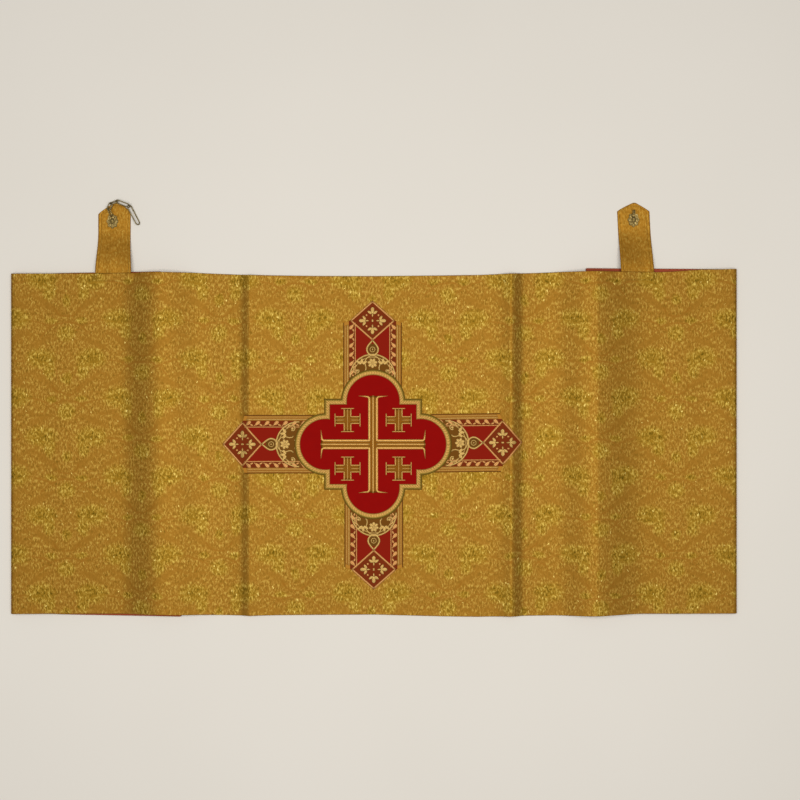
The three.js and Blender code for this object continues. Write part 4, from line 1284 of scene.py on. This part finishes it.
class VeilSettings(bpy.types.PropertyGroup):
    """Sizes and colours that a user would change."""

    figure_x: bpy.props.FloatProperty(
        name="Figure across", description="Where an axis of the damask figure lies, from the cross",
        default=-126.2 * MM, unit="LENGTH")
    figure_y: bpy.props.FloatProperty(
        name="Figure up", description="Height of the figure's first floret, from the cross",
        default=-92.0 * MM, unit="LENGTH")
    strip_width: bpy.props.FloatProperty(
        name="Strip width", description="Width of a metallic strip where it shows",
        default=1.5 * MM, unit="LENGTH", precision=4)
    strip_length: bpy.props.FloatProperty(
        name="Strip length", description="Length of a metallic strip where it shows",
        default=3.6 * MM, unit="LENGTH", precision=4)
    # The colours of the brocade strips' painted highlight and painted shade.
    bright_strip: bpy.props.FloatVectorProperty(
        name="Bright strip", description="Colour of a strip that faces the light", subtype="COLOR",
        default=linear("#C8AE54")[:3], min=0, max=1)
    dark_strip: bpy.props.FloatVectorProperty(
        name="Dark strip", description="Colour of a strip that dives into the weave", subtype="COLOR",
        default=linear("#564409")[:3], min=0, max=1)
    light_power: bpy.props.FloatProperty(
        name="Light", description="Power of the soft light overhead, in watts", default=70.0, min=0)
    camera_height: bpy.props.FloatProperty(
        name="Camera height", description="Height of the camera over the table",
        default=1.786, unit="LENGTH")


class VEIL_OT_brocade(bpy.types.Operator):
    """Make the brocade face, hem to hem"""

    bl_idname = "veil.brocade"
    bl_label = "Brocade face"

    def execute(self, context):
        rows = edge_rows(BROCADE_ROWS)
        points, normals, length = sheet_grid(rows, BROCADE_STEP)
        to_edge = np.minimum(rows, 1 - rows) * WIDTH_SHOWN
        round_edge = 0.7 + 0.3 * rounding(to_edge, 0.8)
        thick = (FACE[1] - FACE[0]) * round_edge
        upper = points + normals * (FACE[0] + thick)[None, :, None]
        lower = points + normals * FACE[0]
        piece = make_cloth("brocade_cloth", upper, lower, length, points[..., 1])
        gold = shared("gold_lurex_brocade", brocade_material, context.scene.veil, ("#8C6220", "#936924"))
        settle(piece, gold, "gold_brocade", "brocade_face")
        return {"FINISHED"}


class VEIL_OT_lining(bpy.types.Operator):
    """Make the red lining under the brocade"""

    bl_idname = "veil.lining"
    bl_label = "Lining"

    def execute(self, context):
        rows = edge_rows(LINING_ROWS)
        points, normals, length = sheet_grid(rows, LINING_STEP)
        inset = 0.4 * (1 - 2 * rows) * (np.abs(1 - 2 * rows) > 0.999)
        points[..., 1] += inset
        to_edge = np.minimum(rows, 1 - rows) * WIDTH_SHOWN
        thick = (LINING[1] - LINING[0]) * (0.45 + 0.55 * rounding(to_edge, 1.1))
        upper = points + normals * LINING[1]
        lower = points + normals * (LINING[1] - thick)[None, :, None]
        lower[..., 2] = np.maximum(lower[..., 2], 0.0)
        piece = make_cloth("lining_cloth", upper, lower, length, points[..., 1])
        red = shared("red_lining_satin", plain_cloth_material, ("#8A3A20", "#994428"),
                     pitch=0.8, roughness=0.75, gloss=0.2)
        settle(piece, red, "red_lining", "red_lining")
        return {"FINISHED"}


class VEIL_OT_tabs(bpy.types.Operator):
    """Make the two fastening tabs"""

    bl_idname = "veil.tabs"
    bl_label = "Tabs"

    def execute(self, context):
        gold = shared("gold_brocade_tab", brocade_material, context.scene.veil, ("#9A6A20", "#A57526"),
                      figure=False)
        for side, tab in TABS.items():
            piece = make_tab(f"tab_cloth_{side}", tab)
            settle(piece, gold, "gold_brocade", f"tab_{side}")
        return {"FINISHED"}


class VEIL_OT_galloon(bpy.types.Operator):
    """Make the four galloon arms and their woven figures"""

    bl_idname = "veil.galloon"
    bl_label = "Galloon arms"

    def execute(self, context):
        ground = shared("red_galloon_weave", galloon_material)
        pale = shared("galloon_pale_gold_thread", thread_material, ("#967030", "#D6B46A"),
                      pitch=1.0, metallic=0.45, roughness=0.5)
        copper = shared("galloon_copper_thread", thread_material, ("#9C632C", "#DAA460"),
                        pitch=1.0, metallic=0.4, roughness=0.5)
        brown = shared("galloon_brown_thread", thread_material, ("#7A4A14", "#9A6420"),
                       pitch=1.0, metallic=0.3, roughness=0.6)
        for side, arm in ARMS.items():
            piece = make_arm(f"galloon_{side}", arm)
            settle(piece, ground, "galloon", f"galloon_arm_{side}")
            figures = make_arm_figures(f"galloon_figures_{side}", arm)
            settle(figures, pale, "gold_thread")
            figures.data.materials.append(copper)
            figures.data.materials.append(brown)
        return {"FINISHED"}


class VEIL_OT_medallion(bpy.types.Operator):
    """Make the padded red medallion"""

    bl_idname = "veil.medallion"
    bl_label = "Medallion"

    def execute(self, context):
        red = shared("deep_red_suedecloth", plain_cloth_material, ("#850301", "#910501"),
                     pitch=0.7, roughness=0.9, gloss=0.1)
        piece = make_medallion("medallion_cloth")
        settle(piece, red, "red_velvet", "medallion")
        return {"FINISHED"}


class VEIL_OT_braid(bpy.types.Operator):
    """Make the gold braid round the medallion"""

    bl_idname = "veil.braid"
    bl_label = "Braid"

    def execute(self, context):
        # The braid's olive outer part is partly painted shade along its outer edge and partly the olive
        # thread of its whipped edge.
        gold = shared("gold_braid", thread_material, ("#98702C", "#CCA054"),
                      pitch=0.8, metallic=0.5, roughness=0.5, outer=("#806C1C", 4.8))
        settle(make_braid("braid_round_medallion"), gold, "gold_thread", "medallion_braid")
        return {"FINISHED"}


class VEIL_OT_crosses(bpy.types.Operator):
    """Make the great cross and the four small ones in gold thread"""

    bl_idname = "veil.crosses"
    bl_label = "Crosses"

    def execute(self, context):
        gold = shared("gold_thread_embroidery", thread_material, ("#9C6E28", "#D8AA60"),
                      pitch=0.9, metallic=0.55, roughness=0.42)
        brown = shared("dark_brown_thread", thread_material, ("#6A3C04", "#925E08"),
                       pitch=0.8, metallic=0.7, roughness=0.6)
        settle(make_cross("cross_great", EMBLEM, **GREAT_CROSS), gold, "gold_thread", "great_cross")
        ground = make_cross_ground("cross_great_ground", EMBLEM, GREAT_CROSS["reach"], GREAT_CROSS["rail"])
        settle(ground, brown, "gold_thread")
        for number, (sx, sy) in enumerate(QUARTERS, 1):
            at = (EMBLEM[0] + sx * SMALL_CROSS_AT[0], EMBLEM[1] + sy * SMALL_CROSS_AT[1])
            small = make_cross(f"cross_small_{number}", at, **SMALL_CROSS)
            settle(small, gold, "gold_thread", f"small_cross_{number}")
            ground = make_cross_ground(
                f"cross_small_ground_{number}", at, SMALL_GROUND_REACH, SMALL_CROSS["rail"])
            settle(ground, brown, "gold_thread")
        return {"FINISHED"}


class VEIL_OT_clasp(bpy.types.Operator):
    """Make the two cast rosettes, the hook and the chain"""

    bl_idname = "veil.clasp"
    bl_label = "Clasp"

    def execute(self, context):
        brass = shared("aged_silvered_brass", clasp_metal_material, ("#A8925C", "#7A6636"),
                       roughness=(0.5, 0.7))
        wire = shared("dull_steel_wire", clasp_metal_material, ("#9C8E6A", "#776B4C"),
                      roughness=(0.5, 0.65))
        eye = loop_tube(*link_line(EYE["at"], CHAIN_JOINTS[0], EYE["roll"], EYE["half"]), WIRE_SHOWN / 2)
        left = joined(make_rosette(ROSETTES["left"]), eye)
        settle(make_object("clasp_eye_half", *left), brass, "clasp_metal", "rosette_with_eye")
        hook = open_tube(hook_path(ROSETTES["right"]), HOOK_WIRE / 2)
        right = joined(make_rosette(ROSETTES["right"]), hook)
        settle(make_object("clasp_hook_half", *right), brass, "clasp_metal", "rosette_with_hook")
        for k, (name, roll, half) in enumerate(CHAIN_LINKS):
            path = link_line(CHAIN_JOINTS[k], CHAIN_JOINTS[k + 1], roll, half)
            piece = make_object(f"wire_{name}", *loop_tube(*path, WIRE_SHOWN / 2))
            settle(piece, wire, "clasp_metal", name)
        return {"FINISHED"}


class VEIL_OT_stage(bpy.types.Operator):
    """Make the table, the light and the camera"""

    bl_idname = "veil.stage"
    bl_label = "Stage"

    def execute(self, context):
        settings = context.scene.veil
        corners = TABLE_HALF * np.array([[-1, -1, 0], [1, -1, 0], [1, 1, 0], [-1, 1, 0]])
        table = make_object("table_top", corners, np.array([[0, 1, 2, 3]]))
        table.data.materials.append(shared("white_board", table_material))
        table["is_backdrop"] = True

        lamp = bpy.data.lights.new("soft_light", "AREA")
        lamp.shape = "RECTANGLE"
        lamp.size, lamp.size_y = LAMP_SIZE
        lamp.energy = settings.light_power
        lamp.color = LAMP_COLOUR
        light = bpy.data.objects.new("soft_light", lamp)
        light.location = LAMP_AT
        bpy.context.collection.objects.link(light)

        world = bpy.data.worlds.new("soft_room")
        world.use_nodes = True
        back = world.node_tree.nodes["Background"]
        back.inputs["Color"].default_value = ROOM_COLOUR
        back.inputs["Strength"].default_value = ROOM_STRENGTH
        context.scene.world = world

        lens = bpy.data.cameras.new("camera")
        lens.lens = LENS
        lens.sensor_width = SENSOR
        lens.clip_end = 20
        camera = bpy.data.objects.new("camera", lens)
        camera.location = ((PHOTO_MIDDLE[0] - CROSS_PIXEL[0]) * PIXEL * MM,
                           (CROSS_PIXEL[1] - PHOTO_MIDDLE[1]) * PIXEL * MM, settings.camera_height)
        bpy.context.collection.objects.link(camera)
        context.scene.camera = camera
        context.scene.view_settings.view_transform = "Standard"
        return {"FINISHED"}


PIECES = (
    VEIL_OT_stage,
    VEIL_OT_brocade,
    VEIL_OT_lining,
    VEIL_OT_tabs,
    VEIL_OT_galloon,
    VEIL_OT_medallion,
    VEIL_OT_braid,
    VEIL_OT_crosses,
    VEIL_OT_clasp,
)


class VEIL_PT_panel(bpy.types.Panel):
    """Lists the pieces and the settings"""

    bl_idname = "VEIL_PT_panel"
    bl_label = "Humeral veil"
    bl_space_type = "VIEW_3D"
    bl_region_type = "UI"
    bl_category = "Veil"

    def draw(self, context):
        for name in VeilSettings.__annotations__:
            self.layout.prop(context.scene.veil, name)
        for piece in PIECES:
            self.layout.operator(piece.bl_idname)


CLASSES = (VeilSettings, *PIECES, VEIL_PT_panel)


def register():
    for cls in CLASSES:
        bpy.utils.register_class(cls)
    bpy.types.Scene.veil = bpy.props.PointerProperty(type=VeilSettings)


def unregister():
    del bpy.types.Scene.veil
    for cls in reversed(CLASSES):
        bpy.utils.unregister_class(cls)


def main():
    register()
    for piece in PIECES:
        group, name = piece.bl_idname.split(".")
        getattr(getattr(bpy.ops, group), name)()
    boxes = {"cad": CAD_BOX, "visual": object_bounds()}
    plain = {key: [[float(value) for value in corner] for corner in box] for key, box in boxes.items()}


if __name__ == "__main__":
    main()
